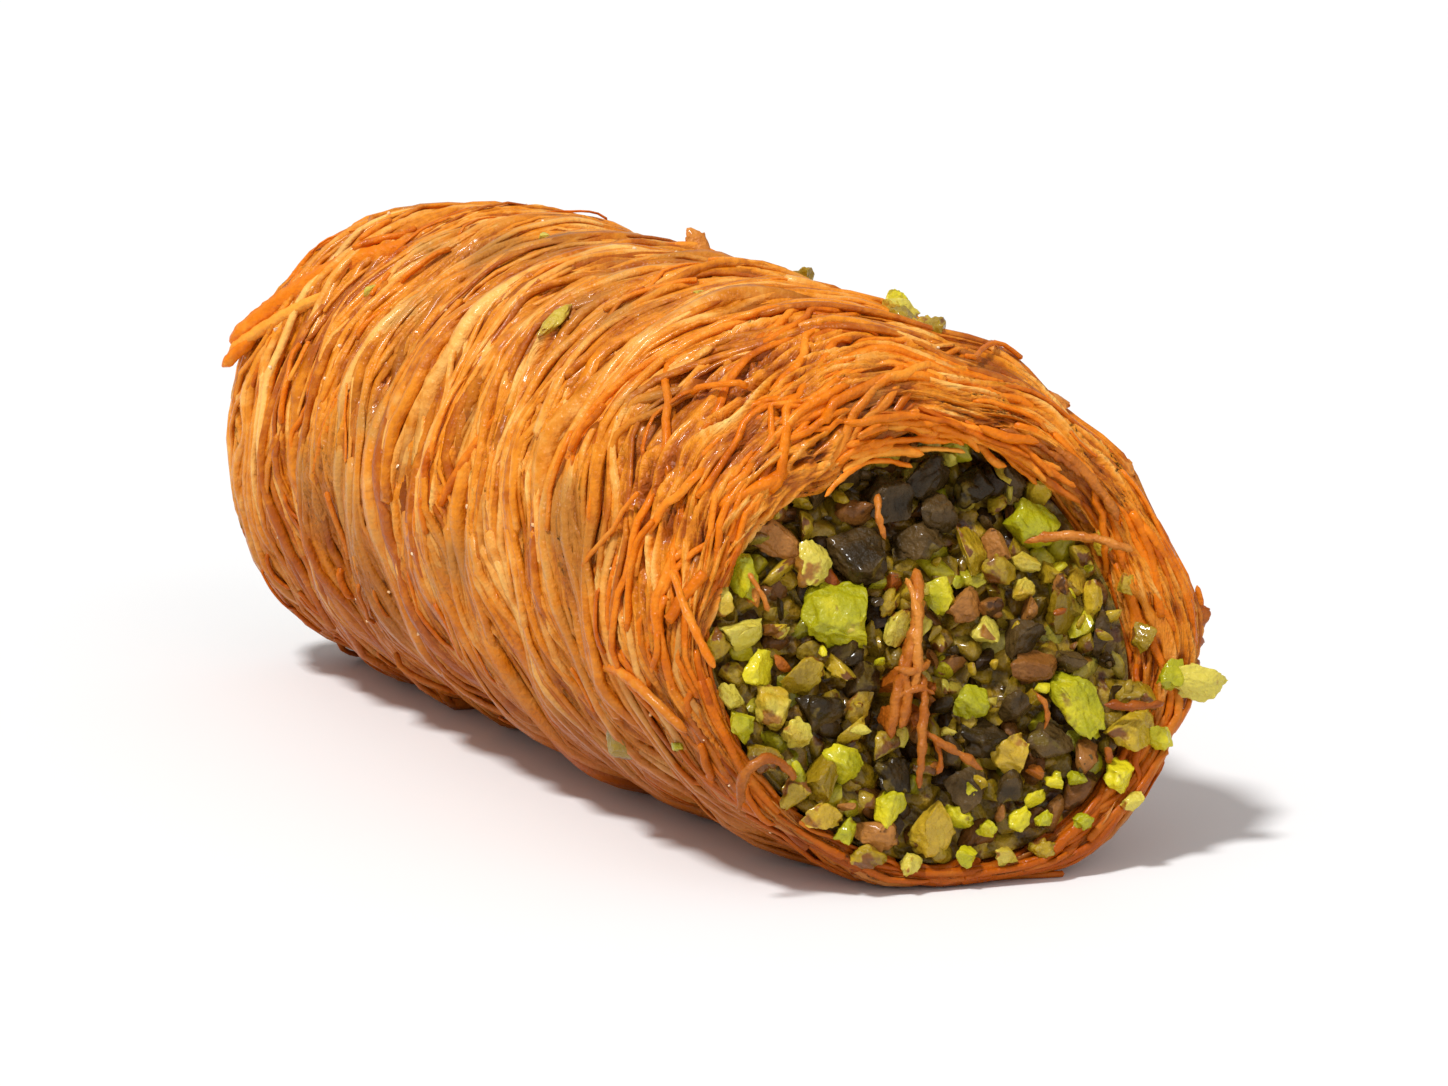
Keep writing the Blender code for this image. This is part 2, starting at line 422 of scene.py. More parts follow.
# ---- Finishes ----
class Effect(NodeTree):
    """A shader node group that puts out colours and values."""

    def __init__(self, name):
        super().__init__(name, "ShaderNodeTree")

    def mix(self, share, first, second):
        return self.add(
            "ShaderNodeMix", {"Factor_Float": share, "A_Color": first, "B_Color": second},
            data_type="RGBA")

    def place(self):
        return self.add("ShaderNodeTexCoord", output="Object")

    def attribute(self, name):
        return self.add("ShaderNodeAttribute", output="Fac", attribute_name=name)


# Values between which a finish goes over from one colour to the next
DARK_TO_GOLDEN = (0.0, 0.55)
GOLDEN_TO_LIGHT = (0.45, 1.1)
SOAKED_PATCHES = (0.02, 0.60)
UNDERSIDE = (-1.0, 25.0)         # heights in mm between which the darker underside fades, partly browning and partly painted shade
UNDERSIDE_SHARE = 0.80
# Painted shade in the crevices of the crushed nuts and on bits that lie deep
CREVICE_SHADE_COLOUR = (0.032, 0.010, 0.001, 1.0)
GRAIN_STRENGTH = 0.6


def baked_pastry_effect():
    """Baked strands: golden to peach by strand, brown in soaked patches, darker low down (partly
    browning, partly painted shade), and painted shade between the strands.  Low and High are the
    heights, in mm, under and over which the painted shade is full and gone."""
    effect = Effect("baked_pastry")
    dark, golden, light, soaked, deep = effect.inputs(
        "Color", "Dark", "Golden", "Light", "Soaked", "Deep")
    patches, low, high = effect.inputs("Float", "Patches", "Low", "High")
    place = effect.place()
    mottle = effect.noise(place, 420.0, 2.0) * 0.35 + effect.noise(place, 1500.0) * 0.18
    tone = effect.attribute("tone") + mottle
    colour = effect.mix(effect.step(tone, *DARK_TO_GOLDEN), dark, golden)
    colour = effect.mix(effect.step(tone, *GOLDEN_TO_LIGHT), colour, light)
    patch = soaked_share(effect, place) + mottle * 0.6
    colour = effect.mix(effect.step(patch, *SOAKED_PATCHES) * patches, colour, soaked)

    # Browner and darker towards the floor, partly from browning and partly as painted shade, and
    # painted shade between the strands where they lie low
    height = effect.part_of(place, "Z") / MM + mottle * 6.0
    under = 1.0 - effect.step(height, *UNDERSIDE)
    colour = effect.mix(under * UNDERSIDE_SHARE, colour, effect.mix(0.5, dark, deep))
    # Painted shade: strands and mat that lie low go over to the shade colour
    depth = 1.0 - effect.step(effect.attribute("height") + mottle * 0.3, low, high)
    colour = effect.mix(depth, colour, deep)
    effect.output("Colour", colour, "Color")
    effect.output("Roughness", 0.34 + effect.noise(place, 260.0, 2.0) * 0.16)
    fibres = effect.noise(effect.add(
        "ShaderNodeAttribute", output="Vector", attribute_name="lane"), 4.0, 2.0)
    effect.output("Grain", effect.noise(place, 2600.0, 2.0) + fibres * 1.2)
    return effect.group


def nut_effect():
    """Chopped pistachio: flesh of two greens, with browner skin where it wasn't cut, and painted
    shade in crevices and on deep bits.
    """
    effect = Effect("chopped_nut")
    flesh, other, skin = effect.inputs("Color", "Flesh", "Other flesh", "Skin")
    skin_share, peel_share = effect.inputs("Float", "Skin share", "Peel share")
    place = effect.place()
    tone = effect.attribute("tone") + effect.noise(place, 520.0, 4.0) * 0.70
    colour = effect.mix(effect.step(tone, 0.1, 0.9), flesh, other)
    patch = effect.noise(place, 420.0, 2.0) + effect.noise(place, 1900.0) * 0.25
    patch = patch + effect.attribute("peel") * peel_share
    colour = effect.mix(effect.step(patch, 0.75 - skin_share, 1.0 - skin_share), colour, skin)
    # Painted shade in crevices and on deep bits
    colour = effect.mix(effect.attribute("crevice"), colour, CREVICE_SHADE_COLOUR)
    effect.output("Colour", colour, "Color")
    effect.output("Roughness", 0.36 + effect.noise(place, 900.0, 2.0) * 0.18)
    effect.output("Grain", effect.noise(place, 2200.0, 3.0))
    return effect.group


def new_material(name):
    material = bpy.data.materials.new(name)
    material.use_nodes = True
    return material, material.node_tree, material.node_tree.nodes["Principled BSDF"]


def effect_material(name, effect, values, grain_depth, coat=0.15, coat_roughness=0.09,
                    specular=0.18, subsurface=0.0, subsurface_radius=(0.001, 0.0006, 0.0002)):
    """A material whose colour, roughness and grain come from an effect group."""
    material, tree, shader = new_material(name)
    group = tree.nodes.new("ShaderNodeGroup")
    group.node_tree = effect
    for socket, value in values.items():
        group.inputs[socket].default_value = (*value, 1.0) if isinstance(value, tuple) else value
    bump = tree.nodes.new("ShaderNodeBump")
    bump.inputs["Strength"].default_value = GRAIN_STRENGTH
    bump.inputs["Distance"].default_value = grain_depth
    tree.links.new(group.outputs["Colour"], shader.inputs["Base Color"])
    tree.links.new(group.outputs["Roughness"], shader.inputs["Roughness"])
    tree.links.new(group.outputs["Grain"], bump.inputs["Height"])
    tree.links.new(bump.outputs["Normal"], shader.inputs["Normal"])
    shader.inputs["Specular IOR Level"].default_value = specular
    shader.inputs["Coat Weight"].default_value = coat
    shader.inputs["Coat Roughness"].default_value = coat_roughness
    if subsurface:
        shader.inputs["Subsurface Weight"].default_value = subsurface
        shader.inputs["Subsurface Radius"].default_value = subsurface_radius
        shader.inputs["Subsurface Scale"].default_value = 1.0
    return material


PASTRY = baked_pastry_effect()
NUT = nut_effect()
# Painted shade is the colour that low strands and the mat's gaps go over to, and half the colour
# of the darker underside
BAKED_COLOURS = {
    "Dark": (0.43, 0.090, 0.002), "Golden": (0.82, 0.265, 0.011), "Light": (0.98, 0.54, 0.135),
    "Soaked": (0.45, 0.175, 0.026), "Deep": (0.23, 0.046, 0.001),
}
strand_paint = effect_material(
    "baked_strands", PASTRY,
    {**BAKED_COLOURS, "Patches": 0.85, "Low": -1.20, "High": -0.25}, 0.10 * MM)
rim_paint = effect_material(
    "rim_strands", PASTRY,
    {**BAKED_COLOURS, "Dark": (0.47, 0.084, 0.002), "Golden": (0.80, 0.196, 0.004),
     "Light": (0.95, 0.39, 0.045), "Deep": (0.21, 0.036, 0.001), "Patches": 0.42,
     "Low": -1.7, "High": -0.40}, 0.10 * MM, coat=0.10, specular=0.11)
singed_paint = effect_material(
    "singed_strands", PASTRY,
    {**BAKED_COLOURS, "Dark": (0.28, 0.060, 0.004), "Golden": (0.48, 0.130, 0.010),
     "Light": (0.72, 0.27, 0.040), "Patches": 0.0, "Low": -9.0, "High": -8.0}, 0.14 * MM)
mat_paint = effect_material(
    "matted_pastry", PASTRY,
    {**BAKED_COLOURS, "Patches": 0.8, "Low": -1.5, "High": -0.35}, 0.12 * MM)
NUT_LOOK = {"coat": 0.38, "coat_roughness": 0.09, "specular": 0.22, "subsurface": 0.15,
            "subsurface_radius": (0.0006, 0.0005, 0.0002)}
SKIN_LOOK = {"coat": 0.26, "coat_roughness": 0.12, "specular": 0.12}
SYRUP_LOOK = {"coat": 1.0, "coat_roughness": 0.04}


def nut_paint(name, look, grain, skin_share, peel_share, flesh, other_flesh, skin):
    """A finish of chopped nuts; the depth of its grain is in mm."""
    return effect_material(name, NUT, {
        "Flesh": flesh, "Other flesh": other_flesh, "Skin": skin,
        "Skin share": skin_share, "Peel share": peel_share}, grain * MM, **look)


BIT_PAINTS = {
    "lime": nut_paint(
        "lime_nut", NUT_LOOK, 0.16, 0.10, 0.32,
        (0.39, 0.365, 0.006), (0.74, 0.62, 0.016), (0.27, 0.17, 0.01)),
    "olive": nut_paint(
        "olive_nut", NUT_LOOK, 0.18, 0.40, 0.50,
        (0.30, 0.185, 0.005), (0.56, 0.37, 0.018), (0.20, 0.070, 0.010)),
    "pale": nut_paint(
        "pale_nut", NUT_LOOK, 0.18, 0.36, 0.40,
        (0.54, 0.34, 0.02), (0.66, 0.54, 0.07), (0.34, 0.14, 0.015)),
    "dark": nut_paint(
        "dark_nut_skin", SKIN_LOOK, 0.24, 0.12, 0.55,
        (0.027, 0.015, 0.003), (0.110, 0.062, 0.018), (0.14, 0.090, 0.012)),
    "brown": nut_paint(
        "brown_nut_skin", SKIN_LOOK, 0.20, 0.30, 0.55,
        (0.22, 0.080, 0.014), (0.42, 0.17, 0.035), (0.09, 0.035, 0.010)),
    "crumb": singed_paint,
}
mush_paint = nut_paint(
    "crushed_nuts", NUT_LOOK, 0.20, 0.50, 0.0,
    (0.21, 0.105, 0.005), (0.48, 0.30, 0.014), (0.14, 0.044, 0.007))
bead_paint = nut_paint(
    "syrup_beads", SYRUP_LOOK, 0.01, 0.1, 0.0,
    (0.88, 0.50, 0.20), (0.97, 0.78, 0.52), (0.80, 0.45, 0.15))


# ---- The sleeve of pastry ----
RING_STEPS = 6                   # sides of a strand
BAKE_COLUMNS = 4                 # strands side by side in the baking map
BAKE_MARGIN_ALONG = 0.02         # clear share of a strand's strip there, at each end
BAKE_MARGIN_ROUND = 0.08         # and at each side
MAT_SEAM = 0.80                  # row where the mat's two pieces meet
FAR_RIM_ROW = 0.17               # rows between which the side lies
SHOWN_RIM_ROW = 0.81
RIM_FINENESS = 0.8               # how much finer the mat's ridges are on the rims
RING_DEPTH = 0.3 * MM            # how deep in the pastry a closed form's last ring is
FORM_TURNS = 180                 # points round the surface that strands are wound over
MAT_TURNS = 220                  # and round the mat
MAT_CROSSINGS = 3                # families of ridges that cross each other in the mat
RIDGES_AROUND = 2.2              # how finely ridges change round the roll
SWIRL_AROUND = 1.9               # and how finely they swirl, round it
SWIRL_ALONG = 80.0               # and along it, for each metre
OPEN_GAPS = (-0.85, -0.15)       # how low the gaps are where the mat opens fully, and at all
PRICKS = (-0.02, 0.18)           # the same for how low it is between ridges
SOAKED = (-0.1, 0.6)             # how soaked it is where a film starts, and is whole
SOAKED_FLATTER = 0.35            # how much flatter ridges are under a film
GAP_AROUND = 2.4                 # how finely the gaps between bundles change around the roll
GAP_ALONG = 520.0                # and along it, for each metre
FLOW_ALONG = 9.0                 # how quickly bundles' common wander changes over the rows
FLOW_FINENESS = 1.3              # and how finely on the whole
FLOW_REACH = 1.6                 # how far they wander together, in mm
SWELL_OVER_BUNDLES = 0.42        # how far bundles rise, and gaps between them sink, in mm
GIRTH_SPREAD = 0.22              # how uneven a strand's thickness is along it
BEND_LENGTH = 0.04               # in metres
WHOLE_TURNS = 4.0                # keeps turns above 0
GAP_REACH = 0.6 * MM             # how far to each side the way out of a gap is looked for
STRAND_ROWS = (0.004, 0.996)     # rows that strands keep to
TIP_SHARPNESS = 7.0              # how near its end a strand lifts or tucks in


def grid_faces(turns, rows):
    """Quads of a grid whose first and last turns are one, as corner numbers."""
    turn, row = np.meshgrid(np.arange(turns), np.arange(rows), indexing="ij")
    after = (turn + 1) % turns
    width = rows + 1
    return np.stack(
        (turn * width + row, after * width + row, after * width + row + 1, turn * width + row + 1),
        axis=-1).reshape(-1, 4)


def bore_ring(grid):
    """A ring inside the pastry where the bore passes under a grid's row on the side."""
    angle = np.arange(len(grid) - 1) / (len(grid) - 1) * tau
    on_side = 0 if abs(grid[0, 0, 1]) > BORE_RADIUS * 1.15 else -1
    x = grid[:-1, on_side, 0] - ROLL_SHIFT[0]
    return np.stack((x, *bore_point(angle, x, -RING_DEPTH)), axis=-1) + ROLL_SHIFT


def make_form(name, turns, row_values, closed=False):
    """The smooth surface that strands are wound over, mapped by turn and row.  A closed one
    has a last ring in the pastry, which joins its two ends."""
    rows = len(row_values) - 1
    grid, out = sleeve_grid(turns, row_values)
    mesh = bpy.data.meshes.new(name)
    faces = grid_faces(turns, rows)
    quads = faces.tolist()
    turn, row = np.divmod(faces, rows + 1)
    turn[:, 1:3] = np.where(turn[:, 1:3] == 0, turns, turn[:, 1:3])
    corners = np.stack((turn / turns, row / rows), axis=-1).reshape(-1, 2)
    places = grid[:-1].reshape(-1, 3)
    outs = out[:-1].reshape(-1, 3)
    turn, row = np.meshgrid(np.arange(turns) / turns, row_values, indexing="ij")
    if closed:
        width = rows + 1
        ring = turns * width
        for number in range(turns):
            after = (number + 1) % turns
            first, last = number * width, number * width + rows
            next_first, next_last = after * width, after * width + rows
            quads.append((last, next_last, ring + after, ring + number))
            quads.append((ring + number, ring + after, next_first, first))
        corners = np.concatenate((corners, np.zeros((8 * turns, 2))))
        places = np.concatenate((places, bore_ring(grid)))
        outs = np.concatenate((outs, np.zeros((turns, 3))))
        turn = np.append(turn, turn[:, 0])
        row = np.append(row, row[:, 0])
    mesh.from_pydata(places.tolist(), [], quads)
    set_attribute(mesh, "place", places, "FLOAT_VECTOR")
    set_attribute(mesh, "out", outs, "FLOAT_VECTOR")
    set_attribute(mesh, "turn", turn)
    set_attribute(mesh, "row", row)
    rows_map = mesh.uv_layers.new(name="rows_map")
    rows_map.data.foreach_set("uv", corners.reshape(-1).astype(np.float32))
    return new_object(name, mesh)


def gaps(tree, angle, row):
    """How tightly the bundles lie here: high on a bundle, low in a gap between two."""
    return tree.noise(tree.on_circle(angle, GAP_AROUND, row * (ROW_LENGTH * GAP_ALONG)))


def over_floor(tree, place, least):
    """A place, moved up to at least this height."""
    return tree.vector(tree.part_of(place, "X"), tree.part_of(place, "Y"),
                       tree.part_of(place, "Z").at_least(least))


def mat_tree():
    """Presses the form into matted pastry: strands fused into ridges that cross each other,
    open in the gaps, and raised to a film where syrup has soaked it."""
    tree = Growth("Matted pastry")
    form, = tree.inputs("Object", "Form")
    sunk, pit, ridge, film, swirl, fineness = tree.inputs(
        "Float", "Sunk", "Pit depth", "Ridge height", "Film height", "Swirl",
        "Ridges per metre")
    material, = tree.inputs("Material", "Material")
    angle = tree.attribute("turn") * tau
    row = tree.attribute("row")
    open_share = 1.0 - tree.step(gaps(tree, angle, row), *OPEN_GAPS)

    # Families of ridges that cross each other, finer on the rims
    rim_rows = (row - SHOWN_RIM_ROW).at_least(0.0) - (FAR_RIM_ROW - row).at_least(0.0)
    run = (row + rim_rows * RIM_FINENESS) * ROW_LENGTH

    def lane(around, along, warp, salt):
        return tree.on_circle(angle, around, (run + warp) * along + salt)

    families = []
    for number in range(MAT_CROSSINGS):
        warp = tree.noise(lane(SWIRL_AROUND, SWIRL_ALONG, 0.0, 11.3 * number)) * swirl
        lanes = lane(RIDGES_AROUND, fineness, warp, 31.7 * number)
        families.append(tree.math("ABSOLUTE", tree.noise(lanes)) - 0.08 * number)
    ridges = reduce(Field.at_least, families)

    place = tree.vector_attribute("place")
    soaked = tree.step(soaked_share(tree, place), *SOAKED)
    pricks = 1.0 - tree.step(ridges, *PRICKS)
    ridges = ridges * (1.0 - soaked * SOAKED_FLATTER)
    on_side = 1.0 - tree.step(row, SHOWN_RIM_ROW - 0.02, SHOWN_RIM_ROW + 0.03)
    height = ridges * ridge + soaked * on_side * film - sunk
    height = height - open_share.at_least(pricks) * pit
    place = tree.vector_math("ADD", place, tree.scaled(tree.vector_attribute("out"), height))
    mesh = tree.add(
        "GeometryNodeSetPosition",
        {"Geometry": tree.mesh_of(form), "Position": over_floor(tree, place, 0.05 * MM)})
    stripe = tree.noise(lanes, 0.7) * 0.25
    # Heights kept here set the painted shade of the mat's gaps and pits in the finish
    mesh = tree.store_all(
        mesh, height=height / MM, tone=ridges * 1.4 + stripe - 0.05, lane=lanes)
    return tree.finish(mesh, material)


def wound_strands_tree():
    """Strands wound over the sleeve's surface in small bundles."""
    tree = Growth("Wound strands")
    form, = tree.inputs("Object", "Form")
    strands, points, bundle_size, seed = tree.inputs(
        "Int", "Strands", "Points per strand", "Strands per bundle", "Seed")
    shortest, longest, first_row, last_row = tree.inputs(
        "Float", "Shortest", "Longest", "First row", "Last row")
    lean, stray, pitch, low, high = tree.inputs(
        "Float", "Bundle lean", "Strand lean", "Pitch in bundle", "Lowest", "Highest")
    waviness, parting, dip, lift, tuck = tree.inputs(
        "Float", "Waviness", "Parting", "Dip", "End lift", "End tuck")
    thinnest, thickest, flattest, tone_spread = tree.inputs(
        "Float", "Thinnest", "Thickest", "Flattest", "Tone spread")
    material, = tree.inputs("Material", "Material")

    index = tree.add("GeometryNodeInputIndex")
    strand = tree.math("FLOOR", (index + 0.5) / points)
    step = index - strand * points
    # The first and last point of a strand have no girth and close its ends
    share = ((step - 0.85) / (points - 2.7)).clamp(-0.004, 1.004)
    bundle = tree.math("FLOOR", (strand + 0.5) / bundle_size)
    member = strand - bundle * bundle_size - (bundle_size - 1) * 0.5

    def by_strand(least, most, salt):
        return tree.random(least, most, strand, seed + salt)

    def by_bundle(least, most, salt):
        return tree.random(least, most, bundle, seed + salt)

    def wave(fineness, spread, salt):
        """Noise along a strand, different on each."""
        return tree.noise(tree.vector(along * fineness, strand * spread, salt))

    # Where along and across its bundle each point of a strand is
    length = by_strand(shortest, longest, 1)
    along = (share - 0.5 + by_strand(-0.3, 0.3, 2)) * length
    slope = by_bundle(-1.0, 1.0, 3) * lean + by_strand(-1.0, 1.0, 4) * stray
    bend = by_strand(-1.0, 1.0, 7) * stray
    wander = wave(90.0, 7.31, seed * 3.7) * waviness
    wander = wander + wave(330.0, 2.9, seed) * waviness * 0.5
    fan = by_bundle(0.7, 1.3, 8) + along * by_bundle(-12.0, 12.0, 9)
    arc = along * along * bend / BEND_LENGTH
    across = member * pitch * fan + along * slope + arc + wander

    # Its place on the sleeve, pushed from the gaps towards the bundles
    turn = tree.math("FRACT", by_bundle(0.0, 1.0, 5) + along / TURN_LENGTH + WHOLE_TURNS)
    angle = turn * tau
    start_row = by_bundle(first_row, last_row, 6)
    around = tree.on_circle(angle, 1.0, start_row * FLOW_ALONG)
    flow = tree.noise(around, FLOW_FINENESS) * FLOW_REACH * MM
    row = start_row + (across + flow) / ROW_LENGTH
    reach = GAP_REACH / ROW_LENGTH
    push = (gaps(tree, angle, row + reach) - gaps(tree, angle, row - reach)) * parting
    row = (row + push / ROW_LENGTH).clamp(*STRAND_ROWS)

    # Its height over the sleeve
    swell = gaps(tree, angle, row) * SWELL_OVER_BUNDLES * MM
    layer = by_bundle(low, high, 10) + by_strand(-0.14, 0.14, 11) * MM
    ripple = wave(130.0, 5.17, seed * 1.3) * dip
    tip = tree.math("POWER", tree.math("ABSOLUTE", share - 0.5) * 2.0, TIP_SHARPNESS)
    lifted = by_strand(-1.0, 0.35, 12)
    tip_rise = tip * (lifted.at_least(0.0) * lift + lifted.at_most(0.0) * tuck)
    height = layer + swell + ripple + tip_rise

    form_mesh = tree.mesh_of(form)

    def on_form(name):
        return tree.add(
            "GeometryNodeSampleUVSurface",
            {"Mesh": form_mesh, "Value": tree.vector_attribute(name),
             "Source UV Map": tree.vector_attribute("rows_map"),
             "Sample UV": tree.vector(turn, row, 0.0)},
            data_type="FLOAT_VECTOR")

    radius = by_strand(thinnest, thickest, 13)
    radius = radius * (1.0 + wave(260.0, 3.3, 0.0) * GIRTH_SPREAD)
    place = tree.vector_math("ADD", on_form("place"), tree.scaled(on_form("out"), height))
    place = over_floor(tree, place, radius * 0.9 + PASTRY_LOW[2])
    end_step = step.at_most(points - 1 - step)

    cloud = tree.add("GeometryNodePoints", {"Count": strands * points, "Position": place})
    tone = by_strand(-0.5, 0.5, 14) * tone_spread + by_bundle(0.36, 0.64, 15)
    # Heights kept here set the painted shade of low strands in the finish
    cloud = tree.store_all(
        cloud, tone=tone, girth=radius * end_step.at_most(1.0), share=share.clamp(0.0, 1.0),
        strand=strand, height=height / MM, middle=place, facing=on_form("out"),
        flatness=by_strand(flattest, 1.0, 16))
    curves = tree.add(
        "GeometryNodePointsToCurves",
        {"Points": cloud, "Curve Group ID": strand, "Weight": step})

    # Round each strand, with a strip of the baking map of its own
    profile = tree.add(
        "GeometryNodeCurveArc",
        {"Resolution": RING_STEPS + 1, "Radius": 1.0, "Start Angle": 0.0, "Sweep Angle": tau},
        mode="RADIUS")
    profile = tree.store(profile, "ring", tree.add("GeometryNodeInputIndex") / RING_STEPS)
    tube = tree.add(
        "GeometryNodeCurveToMesh",
        {"Curve": curves, "Profile Curve": profile, "Scale": tree.attribute("girth")})
    facing = tree.vector_attribute("facing")
    from_middle = tree.vector_math(
        "SUBTRACT", tree.add("GeometryNodeInputPosition"),
        tree.vector_attribute("middle"))
    rise = tree.vector_math("DOT_PRODUCT", from_middle, facing)
    press = tree.scaled(facing, rise * (tree.attribute("flatness") - 1.0))
    tube = tree.moved(tube, press)
    number = tree.attribute("strand")
    column = tree.math("MODULO", number, BAKE_COLUMNS)
    line = tree.math("FLOOR", (number + 0.5) / BAKE_COLUMNS)
    lines = tree.math("CEIL", strands / BAKE_COLUMNS)
    run = tree.attribute("share") * (1 - 2 * BAKE_MARGIN_ALONG)
    bake_u = (column + BAKE_MARGIN_ALONG + run) / BAKE_COLUMNS
    ring = tree.attribute("ring") * (1 - 2 * BAKE_MARGIN_ROUND)
    bake_v = (line + BAKE_MARGIN_ROUND + ring) / lines
    tube = tree.store(
        tube, "OFBake", tree.vector(bake_u, bake_v, 0.0), domain="CORNER", data_type="FLOAT2")
    tube = tree.add("GeometryNodeMergeByDistance", {"Geometry": tube, "Distance": 1e-7})
    return tree.finish(tube, material)


MAT = {
    "Sunk": 0.64 * MM, "Pit depth": 0.75 * MM, "Ridge height": 1.05 * MM,
    "Film height": 0.36 * MM, "Swirl": 2.4 * MM, "Ridges per metre": 1200.0,
    "Material": mat_paint,
}
SIDE_STRANDS = {
    "Material": strand_paint, "Strands": 165, "Points per strand": 31,
    "Strands per bundle": 4, "Shortest": 24 * MM, "Longest": 62 * MM,
    "First row": 0.14, "Last row": 0.86, "Bundle lean": 0.20, "Strand lean": 0.09,
    "Pitch in bundle": 0.70 * MM, "Lowest": -0.62 * MM, "Highest": -0.15 * MM,
    "Waviness": 0.34 * MM, "Parting": 0.75 * MM, "Dip": 0.45 * MM,
    "End lift": 0.5 * MM, "End tuck": 0.9 * MM,
    "Thinnest": 0.20 * MM, "Thickest": 0.46 * MM, "Flattest": 0.40, "Tone spread": 0.66,
}
RIM_STRANDS = {
    **SIDE_STRANDS, "Material": rim_paint, "Strands": 200, "Strands per bundle": 3,
    "Shortest": 4 * MM, "Longest": 18 * MM, "Points per strand": 16, "Bundle lean": 0.36,
    "Strand lean": 0.20, "Pitch in bundle": 0.46 * MM, "Lowest": -0.95 * MM,
    "Highest": -0.22 * MM, "Waviness": 0.80 * MM, "Parting": 0.7 * MM, "Dip": 0.60 * MM,
    "End lift": 0.20 * MM, "Thinnest": 0.20 * MM, "Thickest": 0.40 * MM, "Flattest": 0.45,
    "Tone spread": 0.40,
}
WOUND_PIECES = {
    "strands_1": {**SIDE_STRANDS, "Seed": 11},
    "strands_2": {**SIDE_STRANDS, "Seed": 18},
    "strands_3": {**SIDE_STRANDS, "Seed": 25},
    "pressed_ribbons": {
        **SIDE_STRANDS, "Strands": 130, "Strands per bundle": 2, "Pitch in bundle": 1.3 * MM,
        "First row": 0.22, "Last row": 0.77, "Longest": 40 * MM,
        "Thinnest": 0.45 * MM, "Thickest": 0.85 * MM, "Flattest": 0.28,
        "Lowest": -0.80 * MM, "Highest": -0.35 * MM, "Seed": 47,
    },
    "rim_strands_shown": {
        **RIM_STRANDS, "Strands": 420, "First row": 0.80, "Last row": 0.955, "Seed": 101,
    },
    "rim_strands_far": {**RIM_STRANDS, "First row": 0.035, "Last row": 0.17, "Seed": 131},
    "stray_strands": {
        **RIM_STRANDS, "Strands": 190, "Strands per bundle": 1, "Shortest": 2 * MM,
        "Longest": 7 * MM, "Points per strand": 11, "First row": 0.06, "Last row": 0.95,
        "Lowest": -0.15 * MM, "Highest": 0.20 * MM, "End lift": 0.3 * MM, "Seed": 151,
        "Thinnest": 0.15 * MM, "Thickest": 0.30 * MM,
    },
}


def make_sleeve():
    """The matted pastry and the strands wound over it; returns the forms they were made on."""
    form = make_form("sleeve_form", FORM_TURNS, np.linspace(0, 1, 201))
    forms = [form]
    far_rows = np.concatenate((
        np.linspace(0, FAR_RIM_ROW, 96), np.linspace(FAR_RIM_ROW, MAT_SEAM, 330)[1:]))
    for name, rows, replaced in (
            ("pastry_mat", far_rows, ("pastry",)), ("rim_mat", np.linspace(MAT_SEAM, 1, 190), ())):
        forms.append(make_form(name + "_form", MAT_TURNS, rows, closed=True))
        ride_as(grow(name, mat_tree(), {**MAT, "Form": forms[-1]}), "pastry", *replaced)
    tree = wound_strands_tree()
    for name, inputs in WOUND_PIECES.items():
        ride_as(grow(name, tree, {**inputs, "Form": form}), "pastry")
    return forms


# ---- The filling of chopped nuts ----
FACE_RECESS_LOW = -0.2 * MM      # how far behind the cut the filling lies, low down
FACE_RECESS_HIGH = 3.2 * MM      # and near the top
CORE_SUNK = 2.2 * MM             # how far behind that the core is
CORE_RIM_SUNK = 1.0 * MM         # and its rim
CRUSH_FINENESS = 620             # crushed nuts in a row, for each metre


def filling_point(end, y, z):
    """A place on the filling's end, from its place across the roll."""
    recess = FACE_RECESS_LOW + (FACE_RECESS_HIGH - FACE_RECESS_LOW) * smooth_step(
        -10 * MM, 13 * MM, z)
    return np.stack((cut_plane(end, y, z) - end * recess, y, z), axis=-1)


def filling_rows(end, rings, around, radius_share=1.0):
    """Rings of an end of the filling, from its middle out."""
    angle = np.arange(around) * tau / around
    rim_y, rim_z = bore_point(angle, np.full(around, end * ROLL_LENGTH / 2), 0.2 * MM)
    middle_y, middle_z = rim_y.mean(), rim_z.mean()
    share = np.linspace(0, radius_share, rings + 1)[:, None]
    y = middle_y + (rim_y - middle_y) * share
    z = middle_z + (rim_z - middle_z) * share
    return filling_point(end, y, z) + ROLL_SHIFT


def crushed(place):
    """The crushed nuts' relief at a place: height in metres, tone, and share of painted shade in
    the crevices between them.
    """
    spot = Vector(place) * CRUSH_FINENESS
    distances, centres = noise.voronoi(spot)
    dice = noise.cell_vector(centres[0] * 91)
    edge = min(1.0, (distances[1] - distances[0]) * 2.6)
    tilt = (spot - centres[0]).dot(dice - Vector((0.5, 0.5, 0.5)))
    height = dice[0] + 0.6 * edge + 0.9 * tilt + 0.25 * noise.noise(spot * 2.5)
    return height * MM, dice[1], (1 - edge) ** 2 * 0.8


def facing_out(corners, end):
    """A face's corners, in the order that turns it outwards at this end."""
    return corners if end > 0 else corners[::-1]


